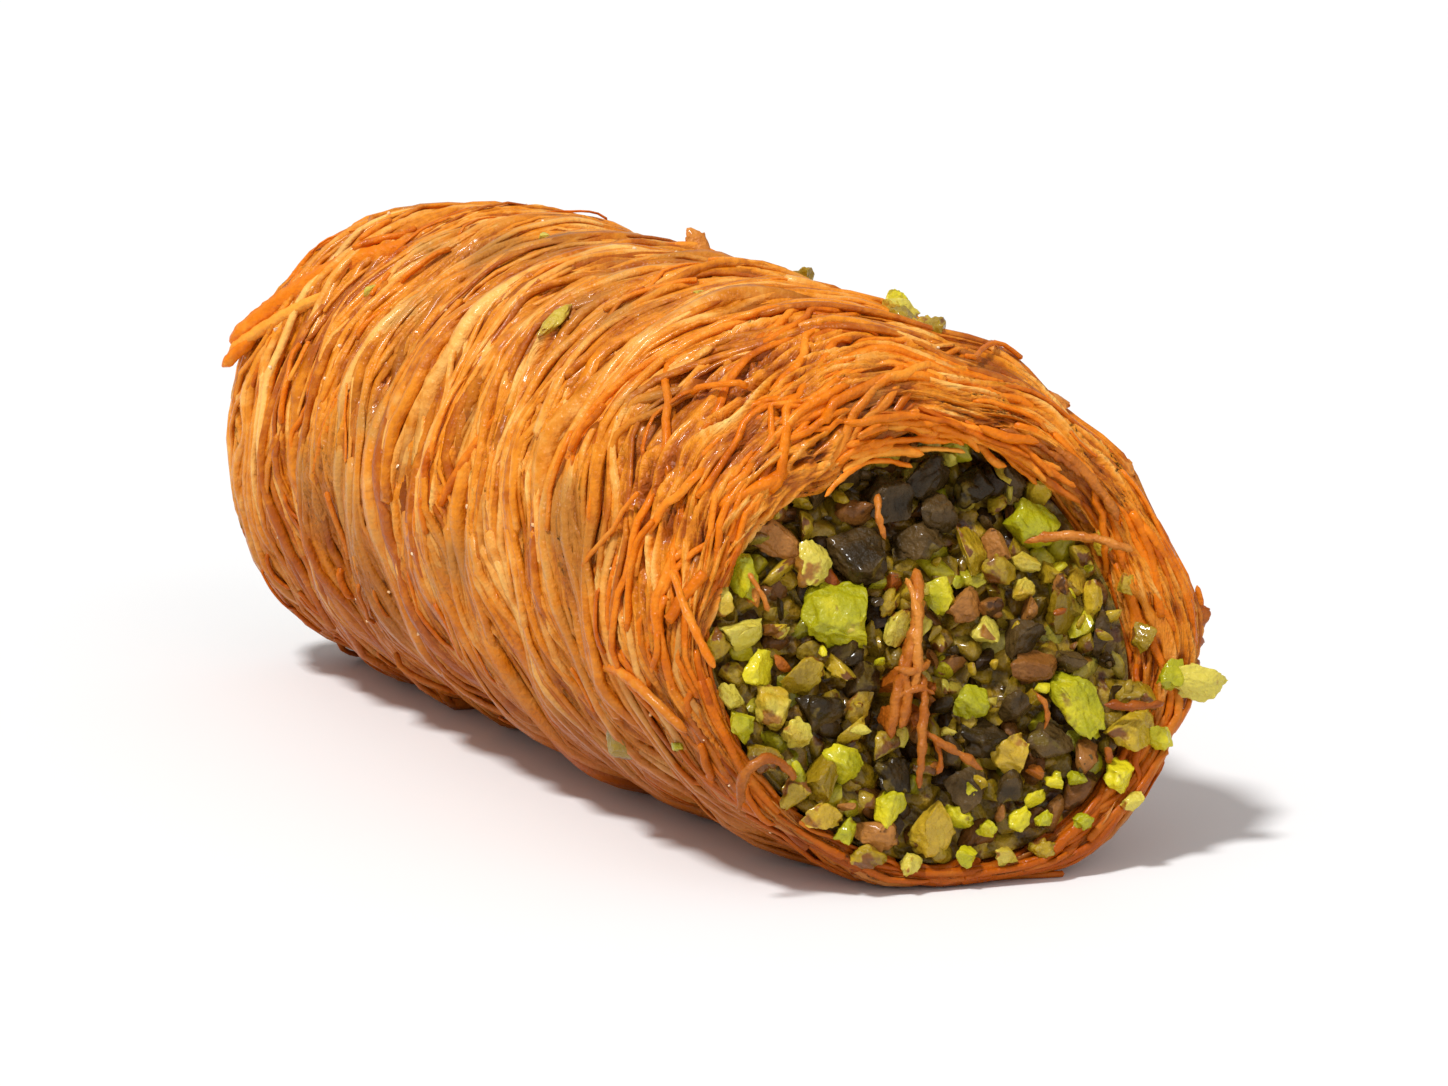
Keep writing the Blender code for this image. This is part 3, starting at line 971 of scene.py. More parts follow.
def make_filling_core(rings=52, around=190):
    """The crushed nuts that the larger bits sit in, one closed body through the roll."""
    mesh = bpy.data.meshes.new("filling_core")
    vertices, faces, tones, crevice_shades = [], [], [], []
    for end in (-1, 1):
        rows = filling_rows(end, rings, around)
        start = len(vertices)
        spots = [rows[0, 0]] + [point for ring in rows[1:] for point in ring]
        for number, point in enumerate(spots):
            height, tone, crevice = crushed(point)
            drop = height - CORE_SUNK
            if number >= len(spots) - around:
                drop = -CORE_RIM_SUNK
            vertices.append((point[0] + end * drop, point[1], point[2]))
            tones.append(tone)
            crevice_shades.append(crevice)
        for i in range(around):
            j = (i + 1) % around
            faces.append(facing_out((start, start + 1 + i, start + 1 + j), end))
            for ring in range(rings - 1):
                a, b = start + 1 + ring * around, start + 1 + (ring + 1) * around
                faces.append(facing_out((a + i, b + i, b + j, a + j), end))
    far_rim = 1 + (rings - 1) * around
    shown_rim = len(vertices) - around
    for i in range(around):
        j = (i + 1) % around
        faces.append((far_rim + i, far_rim + j, shown_rim + j, shown_rim + i))
    mesh.from_pydata(vertices, [], faces)
    mesh.materials.append(mush_paint)
    mesh.shade_smooth()
    set_attribute(mesh, "tone", tones)
    set_attribute(mesh, "crevice", crevice_shades)
    core = new_object("filling_core", mesh)
    ride_as(core, "filling", "pistachio_filling")


def make_filling_faces(rings=12, around=72):
    """The two ends of the filling as plain surfaces, for scattering bits on."""
    mesh = bpy.data.meshes.new("filling_faces")
    vertices, faces = [], []
    for end in (-1, 1):
        rows = filling_rows(end, rings, around, 0.95)
        start = len(vertices)
        vertices.extend(rows.reshape(-1, 3).tolist())
        for ring in range(rings):
            for i in range(around):
                j = (i + 1) % around
                a, b = start + ring * around, start + (ring + 1) * around
                faces.append(facing_out((a + i, b + i, b + j, a + j), end))
    mesh.from_pydata(vertices, [], faces)
    return new_object("filling_faces", mesh)


TORN_FACES = ((3.2, 0.12), (7.0, 0.05), (15.0, 0.018))    # roughness: fineness and height
CUT_DEPTHS = (0.30, 0.78)        # least and most distance of a cut from a bit's middle
CUT_FLATNESS = 0.85
SKIN_EDGE = 12                   # how sharply skin ends at a cut
LARGE_BIT = 4                    # in mm: bits over this size have a finer mesh
CLUSTER_FINENESS = 260.0         # of the heaps that bits of a kind lie in
DENSEST = 4e6                    # scattered bits on a square metre, before they are spaced
DARKENED_DEPTH = 2.6 * MM        # over which scattered bits get darker with painted shade as they lie deeper
LEAST_HEIGHT = 1.0 * MM          # above the floor, for scattered bits


def chopped_bit(name, seed, detail=3, cuts=6, lump=0.20):
    """A nut bit about 2 across: an uneven lump with flat cut and torn faces."""
    dice = Random(seed)
    shape = bmesh.new()
    bmesh.ops.create_icosphere(shape, subdivisions=detail, radius=1.0)
    planes = []
    for _ in range(cuts):
        facing = Vector([dice.gauss(0, 1) for _ in range(3)]).normalized()
        planes.append((facing, dice.uniform(*CUT_DEPTHS)))
    stretch = Vector((dice.uniform(1.0, 1.5), dice.uniform(0.75, 1.05), dice.uniform(0.55, 0.9)))
    drift = Vector((seed * 1.7, seed * 0.9, 0))
    uncut = []
    for vertex in shape.verts:
        place = vertex.co * (1 + lump * noise.noise(vertex.co * 1.8 + drift) * 2)
        cut_off = 0.0
        for facing, depth in planes:
            over = place.dot(facing) - depth
            if over > 0:
                place = place - facing * over * CUT_FLATNESS
                cut_off += over
        grown = 1
        for fineness, height in TORN_FACES:
            grown += height * noise.noise(vertex.co * fineness + drift)
        vertex.co = place * grown * stretch
        uncut.append(max(0.0, 1.0 - cut_off * SKIN_EDGE))
    mesh = bpy.data.meshes.new(name)
    shape.to_mesh(mesh)
    shape.free()
    set_attribute(mesh, "peel", uncut)
    mesh.shade_smooth()
    mesh.set_sharp_from_angle(angle=radians(60))
    return mesh


def bit_collection(name, seeds, **how):
    """A collection of different bits to scatter."""
    collection = bpy.data.collections.new(name)
    for seed in seeds:
        mesh = chopped_bit(f"{name}_{seed}", seed, **how)
        collection.objects.link(bpy.data.objects.new(mesh.name, mesh))
    return collection


def scatter_tree():
    """Bits of one kind scattered over a surface; all kinds share one set of places."""
    tree = Growth("Scattered bits")
    surface, clear_of = tree.inputs("Object", "Surface", "Clear of")
    shapes, = tree.inputs("Collection", "Shapes")
    seed, = tree.inputs("Int", "Seed")
    spacing, clearance, kind_low, kind_high, cluster = tree.inputs(
        "Float", "Spacing", "Clearance", "Kind from", "Kind to", "Clustering")
    smallest, largest, proud, uneven = tree.inputs(
        "Float", "Smallest", "Largest", "Proud", "Unevenness")
    material, = tree.inputs("Material", "Material")

    spread = tree.add(
        "GeometryNodeDistributePointsOnFaces",
        {"Mesh": tree.mesh_of(surface), "Distance Min": spacing, "Density Max": DENSEST,
         "Seed": seed},
        output="Points", distribute_method="POISSON")
    normal = Field(tree, spread.socket.node.outputs["Normal"])
    number = tree.add("GeometryNodeInputIndex")
    spot = tree.add("GeometryNodeInputPosition")
    places = tree.store_all(spread, number=number, facing=normal)
    number = tree.attribute("number")

    def by_bit(least, most, salt):
        return tree.random(least, most, number, seed + salt)

    kind = by_bit(0.0, 1.0, 1) + tree.noise(spot, CLUSTER_FINENESS) * cluster
    kind = kind.clamp(0.0, 0.9999)
    places = tree.store(places, "kind", kind)
    kind = tree.attribute("kind")
    other_kind = tree.math("LESS_THAN", kind, kind_low) + tree.math(
        "GREATER_THAN", kind, kind_high)
    taken = tree.add(
        "GeometryNodeProximity", {"Target": tree.mesh_of(clear_of)}, output="Distance",
        target_element="POINTS")
    left_out = other_kind + tree.math("LESS_THAN", taken, clearance)
    left_out = left_out + tree.math("LESS_THAN", tree.part_of(spot, "Z"), LEAST_HEIGHT)
    places = tree.add("GeometryNodeDeleteGeometry", {"Geometry": places, "Selection": left_out})
    height = proud + by_bit(-1.0, 1.0, 2) * uneven
    rise = tree.scaled(tree.vector_attribute("facing"), height)
    # Bits that lie deeper get painted shade
    places = tree.store_all(
        tree.moved(places, rise), crevice=(height / -DARKENED_DEPTH).clamp(0.0, 0.6),
        tone=by_bit(0.0, 1.0, 3))
    turn = tree.vector(by_bit(0.0, tau, 4), by_bit(0.0, tau, 5), by_bit(0.0, tau, 6))
    bits = tree.add(
        "GeometryNodeInstanceOnPoints",
        {"Points": places, "Pick Instance": True, "Rotation": turn,
         "Instance": tree.add(
             "GeometryNodeCollectionInfo",
             {"Collection": shapes, "Separate Children": True, "Reset Children": True}),
         "Scale": tree.scaled(tree.vector(1.0, 1.0, 1.0), by_bit(smallest, largest, 7))})
    return tree.finish(bits, material)


# Bits that show best on the shown end, by kind: place across (y, z from the roll's axis),
# width, height and depth, all in mm, then turn in the face in degrees, and shape
PLACED_BITS = {
    "lime": (
        (-6.4, 0.1, 4.6, 4.6, 3.0, -20, 3), (7.9, -6.3, 3.2, 5.2, 2.6, 8, 8),
        (7.9, 4.6, 3.3, 3.6, 3.0, 15, 31), (1.0, -5.8, 2.6, 2.4, 2.2, 40, 14),
        (10.0, -10.9, 2.4, 2.4, 2.0, 0, 20), (-11.9, 2.7, 1.9, 4.0, 2.2, 8, 21),
        (-12.2, -2.8, 2.4, 2.2, 2.0, 70, 24), (-8.0, -8.7, 2.4, 2.8, 2.0, 30, 29),
        (-5.6, -11.7, 2.0, 2.8, 1.9, -30, 30), (-1.1, -12.6, 2.4, 1.4, 1.4, -30, 33),
        (0.6, -13.5, 1.4, 1.2, 1.2, 0, 34), (2.8, -13.1, 1.9, 1.3, 1.3, 35, 35),
        (4.5, -13.2, 1.3, 1.1, 1.1, 10, 36), (5.5, -11.0, 1.3, 1.3, 1.2, 20, 37),
        (4.1, -11.9, 1.7, 1.3, 1.2, 50, 38), (7.0, -10.8, 1.3, 1.0, 1.1, 0, 39),
    ),
    "olive": (
        (3.7, 3.4, 2.2, 3.4, 2.0, 12, 12), (11.2, -8.3, 3.7, 2.5, 2.4, 15, 19),
        (-9.5, -3.5, 3.4, 2.2, 1.8, 10, 27), (-9.6, -9.4, 2.2, 3.6, 2.2, -25, 28),
    ),
    "pale": (
        (3.0, -1.7, 2.2, 2.0, 1.8, 25, 15), (6.2, 0.6, 1.6, 1.5, 1.4, 50, 16),
        (6.8, 2.4, 2.2, 1.4, 1.5, -20, 17), (3.0, -9.1, 2.8, 2.5, 2.2, 30, 18),
        (-7.1, 3.0, 2.5, 3.2, 2.0, -15, 22), (-12.4, -0.5, 3.0, 2.2, 2.0, 20, 23),
        (-11.8, -5.0, 2.7, 3.2, 2.3, 35, 25), (-10.7, -6.7, 2.0, 2.0, 1.8, 0, 26),
        (-3.0, -13.4, 3.0, 3.0, 2.2, 25, 32),
    ),
    "dark": (
        (-1.2, 6.6, 3.4, 3.6, 3.0, -25, 40), (1.4, 7.6, 3.6, 2.6, 2.6, 15, 98),
        (1.9, 5.6, 2.8, 2.6, 2.6, -30, 99), (-4.1, 3.4, 3.8, 3.9, 3.2, -12, 41),
        (0.3, 4.0, 3.6, 2.6, 2.4, 20, 42), (4.6, 7.1, 2.9, 2.5, 2.2, 10, 43),
        (5.2, -2.0, 3.0, 2.7, 2.2, 30, 44), (1.7, -8.0, 4.0, 2.8, 2.2, -25, 45),
        (5.6, -8.5, 2.8, 2.8, 2.0, 30, 46), (-9.0, -5.6, 3.4, 2.6, 2.0, -25, 47),
        (-0.2, -11.0, 3.0, 2.8, 2.0, 10, 48), (-5.0, -9.8, 2.8, 2.6, 2.0, -20, 49),
        (2.4, -11.1, 2.4, 2.0, 1.8, 20, 50),
    ),
    "brown": (
        (5.6, -3.9, 3.4, 2.4, 1.6, -15, 51), (-9.3, 4.9, 4.6, 2.8, 1.6, -20, 52),
        (2.0, 0.0, 2.6, 2.4, 1.8, 0, 53), (-6.6, -13.3, 3.2, 2.2, 1.8, -25, 54),
    ),
}
# Bits pressed over the lower edge of the pastry, in the same terms
EDGE_BITS = {
    "lime": (
        (-8.6, -13.0, 1.8, 1.6, 1.5, 20, 60), (-1.0, -15.0, 1.5, 1.3, 1.3, 40, 63),
        (7.0, -13.6, 1.4, 1.2, 1.2, 30, 66), (11.2, 9.6, 2.0, 1.0, 1.0, -20, 69),
        (13.0, -8.8, 1.8, 1.6, 1.4, -20, 92), (14.7, -5.0, 2.4, 1.9, 1.4, 20, 97),
        (-14.0, -6.0, 1.8, 2.3, 1.7, 25, 122),
    ),
    "olive": (
        (-7.3, -14.6, 2.4, 1.6, 1.5, -20, 61), (4.2, -15.0, 1.9, 1.4, 1.3, 15, 65),
        (12.6, -6.2, 1.8, 2.2, 1.6, -15, 67), (13.4, -2.6, 1.7, 2.2, 1.6, 0, 90),
        (12.6, 3.4, 1.7, 1.9, 1.4, 10, 93), (-14.3, -1.2, 1.8, 2.2, 1.8, -10, 121),
        (-13.0, -8.0, 2.2, 2.1, 1.8, 10, 123), (-11.4, -10.4, 2.1, 2.2, 1.8, -15, 126),
    ),
    "pale": (
        (-4.6, -15.2, 1.7, 1.5, 1.4, 10, 62), (1.6, -15.3, 1.8, 1.3, 1.3, -10, 64),
        (-14.3, -4.2, 1.5, 1.8, 1.4, 10, 68), (13.2, 0.6, 1.5, 1.7, 1.4, 20, 91),
        (10.4, -12.6, 1.6, 1.3, 1.3, 0, 95), (16.3, -5.6, 2.5, 4.2, 1.5, 75, 246),
        (-13.8, 1.3, 1.9, 2.4, 1.8, 10, 120), (-13.1, 3.7, 1.7, 2.6, 1.7, -5, 124),
        (-10.0, -12.0, 2.5, 1.9, 1.8, 20, 127),
    ),
    "brown": (
        (11.6, 5.8, 1.8, 1.6, 1.4, 0, 94), (-12.2, 5.8, 2.7, 1.9, 1.6, 30, 125),
    ),
    "crumb": (
        (-2.2, -2.4, 1.4, 2.0, 3.0, 20, 130), (-3.5, -4.2, 2.0, 1.7, 3.2, 30, 131),
        (-2.1, -4.7, 1.5, 1.2, 3.0, -20, 132), (-4.5, -6.4, 1.2, 1.9, 2.4, -10, 133),
        (-2.9, -6.3, 1.1, 1.8, 2.8, 10, 134), (-11.4, 1.6, 1.0, 2.0, 1.0, 10, 103),
        (4.3, -10.3, 1.3, 1.1, 1.0, 0, 104),
    ),
}
SIDE_ROWS = (0.16, 0.92)         # rows over the side and the shown lip that bits are put on
SIDE_STEPS = 250
FAR_BITS_TURN = radians(140)     # how far round the far end's bits are from the shown ones
PLACED_PROUD = 0.45              # share of a placed bit's depth that stands out

# Bits stuck to the outside, by kind: place along the roll in mm and round it in degrees,
# width, height and depth in mm, then turn and shape
OUTSIDE_BITS = {
    "pale": (
        (21.8, 69, 2.8, 2.0, 2.4, 20, 70), (24.8, 67, 2.6, 1.9, 2.3, 60, 72),
        (5.8, 126, 1.6, 3.8, 0.9, 12, 76), (-21.0, 131, 1.2, 0.9, 0.7, 30, 77),
        (-12.0, 97, 1.1, 0.8, 0.7, 0, 78), (13.8, 104, 1.7, 0.8, 0.5, 20, 81),
        (-5.0, -38, 1.7, 1.3, 0.8, 40, 82),
    ),
    "olive": (
        (23.4, 71, 2.8, 2.2, 2.2, -30, 71), (26.4, 69, 2.6, 1.9, 2.0, 10, 73),
        (24.0, 66, 2.2, 2.4, 2.2, 45, 87), (8.6, 68, 1.8, 1.6, 2.6, 0, 75),
        (21.8, -146, 2.0, 2.9, 1.5, 10, 79), (17.0, 28, 1.8, 1.3, 1.0, -30, 83),
    ),
    "lime": (
        (20.4, 67, 1.8, 1.5, 3.0, 45, 74), (31.0, -153, 0.9, 0.9, 0.8, 0, 80),
        (-24.0, 40, 1.1, 0.9, 0.8, 10, 84),
    ),
    "crumb": (
        (-6.0, 67, 2.8, 2.0, 3.0, 30, 105), (38.6, -21, 2.0, 1.9, 2.2, 0, 106),
        (38.9, -17, 1.7, 2.2, 2.8, 20, 107), (39.1, -12, 1.5, 1.8, 2.8, -20, 108),
        (39.0, -7, 1.2, 1.7, 2.7, 10, 109), (34.0, 24, 2.4, 1.5, 1.4, 0, 110),
        (31.0, 42, 2.2, 1.4, 1.3, 20, 111), (28.4, 57, 2.6, 1.4, 1.3, 0, 112),
    ),
}


def face_frame(y, z, end=1):
    """A place on the filling's face, and axes there: across the face, up it and out of it."""
    step = 0.5 * MM
    middle = Vector(filling_point(end, y, z))
    up = (Vector(filling_point(end, y, z + step)) - middle).normalized()
    across = (Vector(filling_point(end, y + step * end, z)) - middle).normalized()
    out = across.cross(up).normalized()
    across = up.cross(out).normalized()
    return middle + Vector(ROLL_SHIFT), Matrix((across, up, out)).transposed()


def side_frame(x, angle):
    """A place on the roll's side or lip, and axes there: along the roll, round and out."""
    angles = np.array([angle])
    rows = np.linspace(*SIDE_ROWS, SIDE_STEPS)
    line = sagged(np.stack([sleeve_row(angles, row)[0] for row in rows]))
    middle = line[np.argmin(np.abs(line[:, 0] - x))]
    out = Vector((0, cos(angle), sin(angle)))
    along = Vector((1, 0, 0))
    return Vector(middle + ROLL_SHIFT), Matrix((along, out.cross(along), out)).transposed()


def set_bit(size, turn, seed, middle, axes, finest=5):
    """One bit of a given size in mm, turned in its frame and set a little into it."""
    detail = finest if max(size) > LARGE_BIT else min(4, finest)
    mesh = chopped_bit("bit", seed, detail=detail)
    places = np.array([vertex.co for vertex in mesh.vertices])
    low, high = places.min(axis=0), places.max(axis=0)
    unit = (places - (low + high) / 2) / (high - low)
    spin = Matrix.Rotation(radians(turn), 3, "Z")
    out = Vector((0, 0, (PLACED_PROUD - 0.5) * size[2]))
    for vertex, place in zip(mesh.vertices, unit):
        own = spin @ Vector(place * size) + out
        vertex.co = axes @ (own * MM) + middle
    set_attribute(mesh, "tone", [Random(seed).random()] * len(mesh.vertices))
    return mesh


def joined(name, meshes):
    """One new mesh of several."""
    whole = bmesh.new()
    for mesh in meshes:
        whole.from_mesh(mesh)
    mesh = bpy.data.meshes.new(name)
    whole.to_mesh(mesh)
    whole.free()
    return mesh


def ride_bits(piece, kind):
    """Crumbs are of pastry, all other kinds of nut."""
    ride_as(piece, "pastry" if kind == "crumb" else "filling")


def join_by_kind(name, bits):
    """One piece for each kind of bit."""
    pieces = []
    for kind, meshes in bits.items():
        whole = joined(f"{name}_{kind}", meshes)
        whole.materials.append(BIT_PAINTS[kind])
        pieces.append(new_object(whole.name, whole))
        ride_bits(pieces[-1], kind)
    return pieces


def add_bits(placed, bits, frame_at, turns=1, other_shapes=0, finest=5):
    """Adds bits to those placed before, each in the frame of its own place."""
    for kind, rows in bits.items():
        for one, other, *size, turn, seed in rows:
            middle, axes = frame_at(one, other)
            mesh = set_bit(size, turn * turns, seed + other_shapes, middle, axes, finest)
            placed.setdefault(kind, []).append(mesh)


def far_frame(y, z):
    """The frame of a place on the far end for a bit that the shown end has at (y, z)."""
    spot = Vector((y * MM, z * MM)) - Vector(BORE_SHIFT_SHOWN)
    spot = Matrix.Rotation(FAR_BITS_TURN, 2) @ spot + Vector(BORE_SHIFT_FAR)
    return face_frame(*spot, end=-1)


def place_bits():
    """The placed bits of both ends, one object for each kind.  The far end has bits of the
    same kinds and sizes as the shown one, of other shapes and turned round the end."""
    placed = {}
    for bits in (PLACED_BITS, EDGE_BITS):
        add_bits(placed, bits, lambda y, z: face_frame(y * MM, z * MM))
    add_bits(placed, PLACED_BITS, far_frame, turns=2, other_shapes=200, finest=3)
    return join_by_kind("placed", placed)


def make_outside_bits():
    stuck = {}
    add_bits(stuck, OUTSIDE_BITS, lambda x, angle: side_frame(x * MM, radians(angle)))
    join_by_kind("stuck", stuck)


# Kinds of scattered bits, and between which shares of them all each kind is
KIND_SHARES = (
    ("lime", 0.0, 0.15), ("olive", 0.15, 0.48), ("pale", 0.48, 0.62), ("brown", 0.62, 0.76),
    ("crumb", 0.76, 0.81), ("dark", 0.81, 1.0),
)
# Layers of them: name, spacing, least and most half width, detail of the mesh, rise, its
# unevenness, distance from placed bits, and seed; lengths in mm
LAYERS = (
    ("deep_bits", 1.6, 0.8, 1.3, 2, -1.2, 0.35, 0.0, 61),
    ("bits", 1.5, 0.75, 1.4, 3, -0.35, 0.45, 0.6, 71),
    ("crumbs", 1.5, 0.35, 0.75, 2, 0.0, 0.4, 0.5, 83),
)


def make_filling():
    make_filling_core()
    placed = joined("placed_bits", [piece.data for piece in place_bits()])
    placed = new_object("placed_bits", placed)
    faces = make_filling_faces()
    tree = scatter_tree()
    for size_name, spacing, smallest, largest, detail, proud, uneven, clearance, seed in LAYERS:
        for kind, low, high in KIND_SHARES:
            shapes = bit_collection(
                f"{size_name}_{kind}", range(seed + 10, seed + 16), detail=detail)
            piece = grow(f"{size_name}_{kind}", tree, {
                "Surface": faces, "Shapes": shapes, "Spacing": spacing * MM, "Seed": seed,
                "Kind from": low, "Kind to": high, "Clustering": 0.35,
                "Smallest": smallest * MM, "Largest": largest * MM, "Proud": proud * MM,
                "Unevenness": uneven * MM, "Clear of": placed, "Clearance": clearance * MM,
                "Material": BIT_PAINTS[kind],
            })
            ride_bits(piece, kind)
    for helper in (placed, faces):
        bpy.data.objects.remove(helper)


# ---- Strands laid one by one ----
# Strands on the shown end: radius, then places (y, z from the roll's axis, height), all in mm
FACE_STRANDS = (
    (0.42, ((-0.8, 2.2, 0.8), (-1.3, 0.6, 1.7), (-1.9, -1.0, 2.0), (-2.9, -3.2, 1.7),
            (-4.4, -5.2, 1.5), (-5.0, -7.6, 0.8))),
    (0.32, ((-1.7, 1.6, 1.2), (-1.6, -0.6, 2.3), (-2.6, -2.2, 2.0), (-2.5, -3.8, 2.2),
            (-3.5, -5.4, 1.5))),
    (0.36, ((-3.2, -2.8, 1.4), (-3.9, -4.4, 2.0), (-3.3, -5.6, 1.9), (-4.3, -7.0, 1.2))),
    (0.30, ((-4.2, -3.6, 1.6), (-3.2, -4.2, 2.3), (-2.2, -4.0, 2.1), (-1.7, -3.2, 1.3))),
    (0.24, ((-4.5, -5.6, 1.2), (-3.7, -4.7, 2.2), (-2.6, -4.9, 2.3), (-1.9, -5.3, 1.7))),
    (0.32, ((-2.4, -4.0, 1.6), (-2.6, -5.8, 2.2), (-3.4, -7.4, 1.9), (-3.5, -8.8, 2.0),
            (-3.8, -10.6, 1.2))),
    (0.28, ((-3.3, -7.2, 1.7), (-2.2, -8.3, 2.3), (-1.0, -8.9, 2.0), (0.4, -9.9, 1.7))),
    (0.24, ((-2.6, -7.6, 1.6), (-2.0, -8.9, 2.0), (-2.6, -9.9, 1.5))),
    (0.36, ((7.0, 3.5, 0.4), (8.6, 3.7, 1.5), (10.7, 3.3, 2.4), (12.8, 1.9, 3.2))),
    (0.28, ((-2.2, 6.7, 1.4), (-3.0, 5.3, 2.3), (-2.6, 3.8, 1.7))),
    (0.40, ((8.4, 9.8, 1.8), (10.6, 8.3, 2.5), (12.1, 6.2, 2.7), (12.9, 4.0, 2.0))),
    (0.32, ((6.4, 10.2, 2.2), (9.0, 9.0, 2.6), (11.0, 6.8, 2.4))),
    (0.34, ((-15.2, -11.2, 0.2), (-15.2, -9.2, 1.4), (-14.0, -7.9, 2.0), (-12.4, -8.3, 1.7),
            (-11.5, -9.6, 0.8))),
    (0.34, ((9.2, -6.6, 1.2), (11.0, -7.1, 1.7), (13.2, -6.8, 1.4))),
    (0.26, ((-11.6, 2.6, 0.8), (-11.3, 1.4, 1.5), (-11.0, 0.2, 1.0))),
    (0.24, ((4.8, -5.6, 1.4), (5.6, -6.6, 1.8), (4.9, -7.8, 1.3))),
)
# Strands standing off the rims and the side: radius, then places along the roll in mm, round
# it in degrees, and out from its axis in mm
PROUD_STRANDS = (
    (0.95, ((-24.0, 108, 17.3), (-28.0, 121, 17.9), (-31.4, 134, 17.9), (-34.4, 146, 18.0),
            (-35.8, 154, 18.7))),
    (0.55, ((-28.0, 134, 17.6), (-31.5, 143, 18.0), (-34.0, 151, 18.2), (-35.6, 156, 18.6))),
    (0.60, ((-33.6, 150, 18.0), (-34.8, 156, 18.4), (-35.6, 160, 18.8))),
    (0.45, ((-4.6, 60, 18.2), (-5.4, 64, 19.0), (-6.4, 68, 19.3), (-6.6, 74, 18.3))),
    (0.40, ((-7.0, 58, 18.0), (-7.4, 64, 18.8), (-7.0, 70, 18.9), (-6.2, 77, 18.2))),
    (0.40, ((24.0, -166, 18.2), (27.5, -171, 18.7), (31.0, -164, 18.6), (33.0, -158, 17.9))),
    (0.34, ((33.0, 168, 18.0), (36.0, 176, 18.3), (38.0, -176, 17.6))),
    (0.40, ((6.0, 148, 18.1), (4.8, 160, 18.8), (2.0, 172, 18.7), (-0.6, -178, 18.1))),
    (0.34, ((38.2, -27, 18.2), (39.0, -20, 19.4), (39.3, -12, 19.9), (38.9, -6, 19.4))),
    (0.30, ((38.0, -16, 18.6), (38.8, -11, 19.6), (38.9, -5, 19.9), (38.4, -1, 19.4))),
    (0.40, ((-16.0, 152, 18.0), (-17.6, 163, 18.6), (-18.4, 176, 18.7), (-18.0, -172, 18.1))),
)
FRINGE_STRANDS = 28              # strands of the upper lip that hang over the filling
FRINGE_FROM = radians(50)        # angles between which their middles are
FRINGE_TO = radians(103)
FRINGE_RADIUS = 13.9             # in mm, where the lip doesn't overhang
FRINGE_STEPS = 5                 # stretches between the places of a fringe strand
STRAND_SIDES = 7                 # of a strand laid by itself
STRAND_STEP = 0.25 * MM
STRAND_END = 0.7                 # how thick its ends are, against the rest
KNOTS = 1400.0                   # how finely it is uneven


def line_curve(name, lines):
    """Smooth curves through places, each thinning towards its ends."""
    curve = bpy.data.curves.new(name, "CURVE")
    curve.dimensions = "3D"
    for radius, places in lines:
        spline = curve.splines.new("NURBS")
        spline.points.add(len(places) - 1)
        spline.order_u = 4 if len(places) > 3 else 3
        spline.use_endpoint_u = True
        for point, place in zip(spline.points, places):
            point.co = (*place, 1.0)
            point.radius = radius
        spline.points[0].radius = spline.points[-1].radius = radius * STRAND_END
    return new_object(name, curve)


def laid_strands_tree():
    """Rounds given lines into uneven strands with closed ends."""
    tree = Growth("Laid strands")
    lines, = tree.inputs("Object", "Lines")
    sides, = tree.inputs("Int", "Sides")
    unevenness, = tree.inputs("Float", "Unevenness")
    material, = tree.inputs("Material", "Material")
    curve = tree.add(
        "GeometryNodeResampleCurve", {"Curve": tree.mesh_of(lines), "Length": STRAND_STEP},
        mode="LENGTH")
    line = tree.add("GeometryNodeInputIndex")
    curve = tree.store(curve, "tone", tree.random(0.15, 1.0, line, 5), domain="CURVE")
    profile = tree.add(
        "GeometryNodeCurvePrimitiveCircle", {"Resolution": sides, "Radius": 1.0}, mode="RADIUS")
    radius = tree.add("GeometryNodeInputRadius")
    reached = tree.add("GeometryNodeSplineParameter", output="Length")
    to_end = reached.at_most(tree.add("GeometryNodeSplineLength", output="Length") - reached)
    blunt = tree.math("SQRT", (to_end / (radius * 1.5) + 0.06).at_most(1.0))
    tube = tree.add(
        "GeometryNodeCurveToMesh",
        {"Curve": curve, "Profile Curve": profile, "Scale": radius * blunt, "Fill Caps": True})
    spot = tree.add("GeometryNodeInputPosition")
    swell = tree.noise(spot, KNOTS, 2.0) * unevenness
    normal = tree.add("GeometryNodeInputNormal")
    tube = tree.moved(tube, tree.scaled(normal, swell))
    return tree.finish(tube, material)


def face_spot(y, z, height):
    middle, axes = face_frame(y * MM, z * MM)
    return middle + axes @ Vector((0, 0, height * MM))


def proud_spot(x, angle, radius):
    across = (radius * cos(radians(angle)), radius * sin(radians(angle)))
    return Vector((x, *across)) * MM + Vector(ROLL_SHIFT)


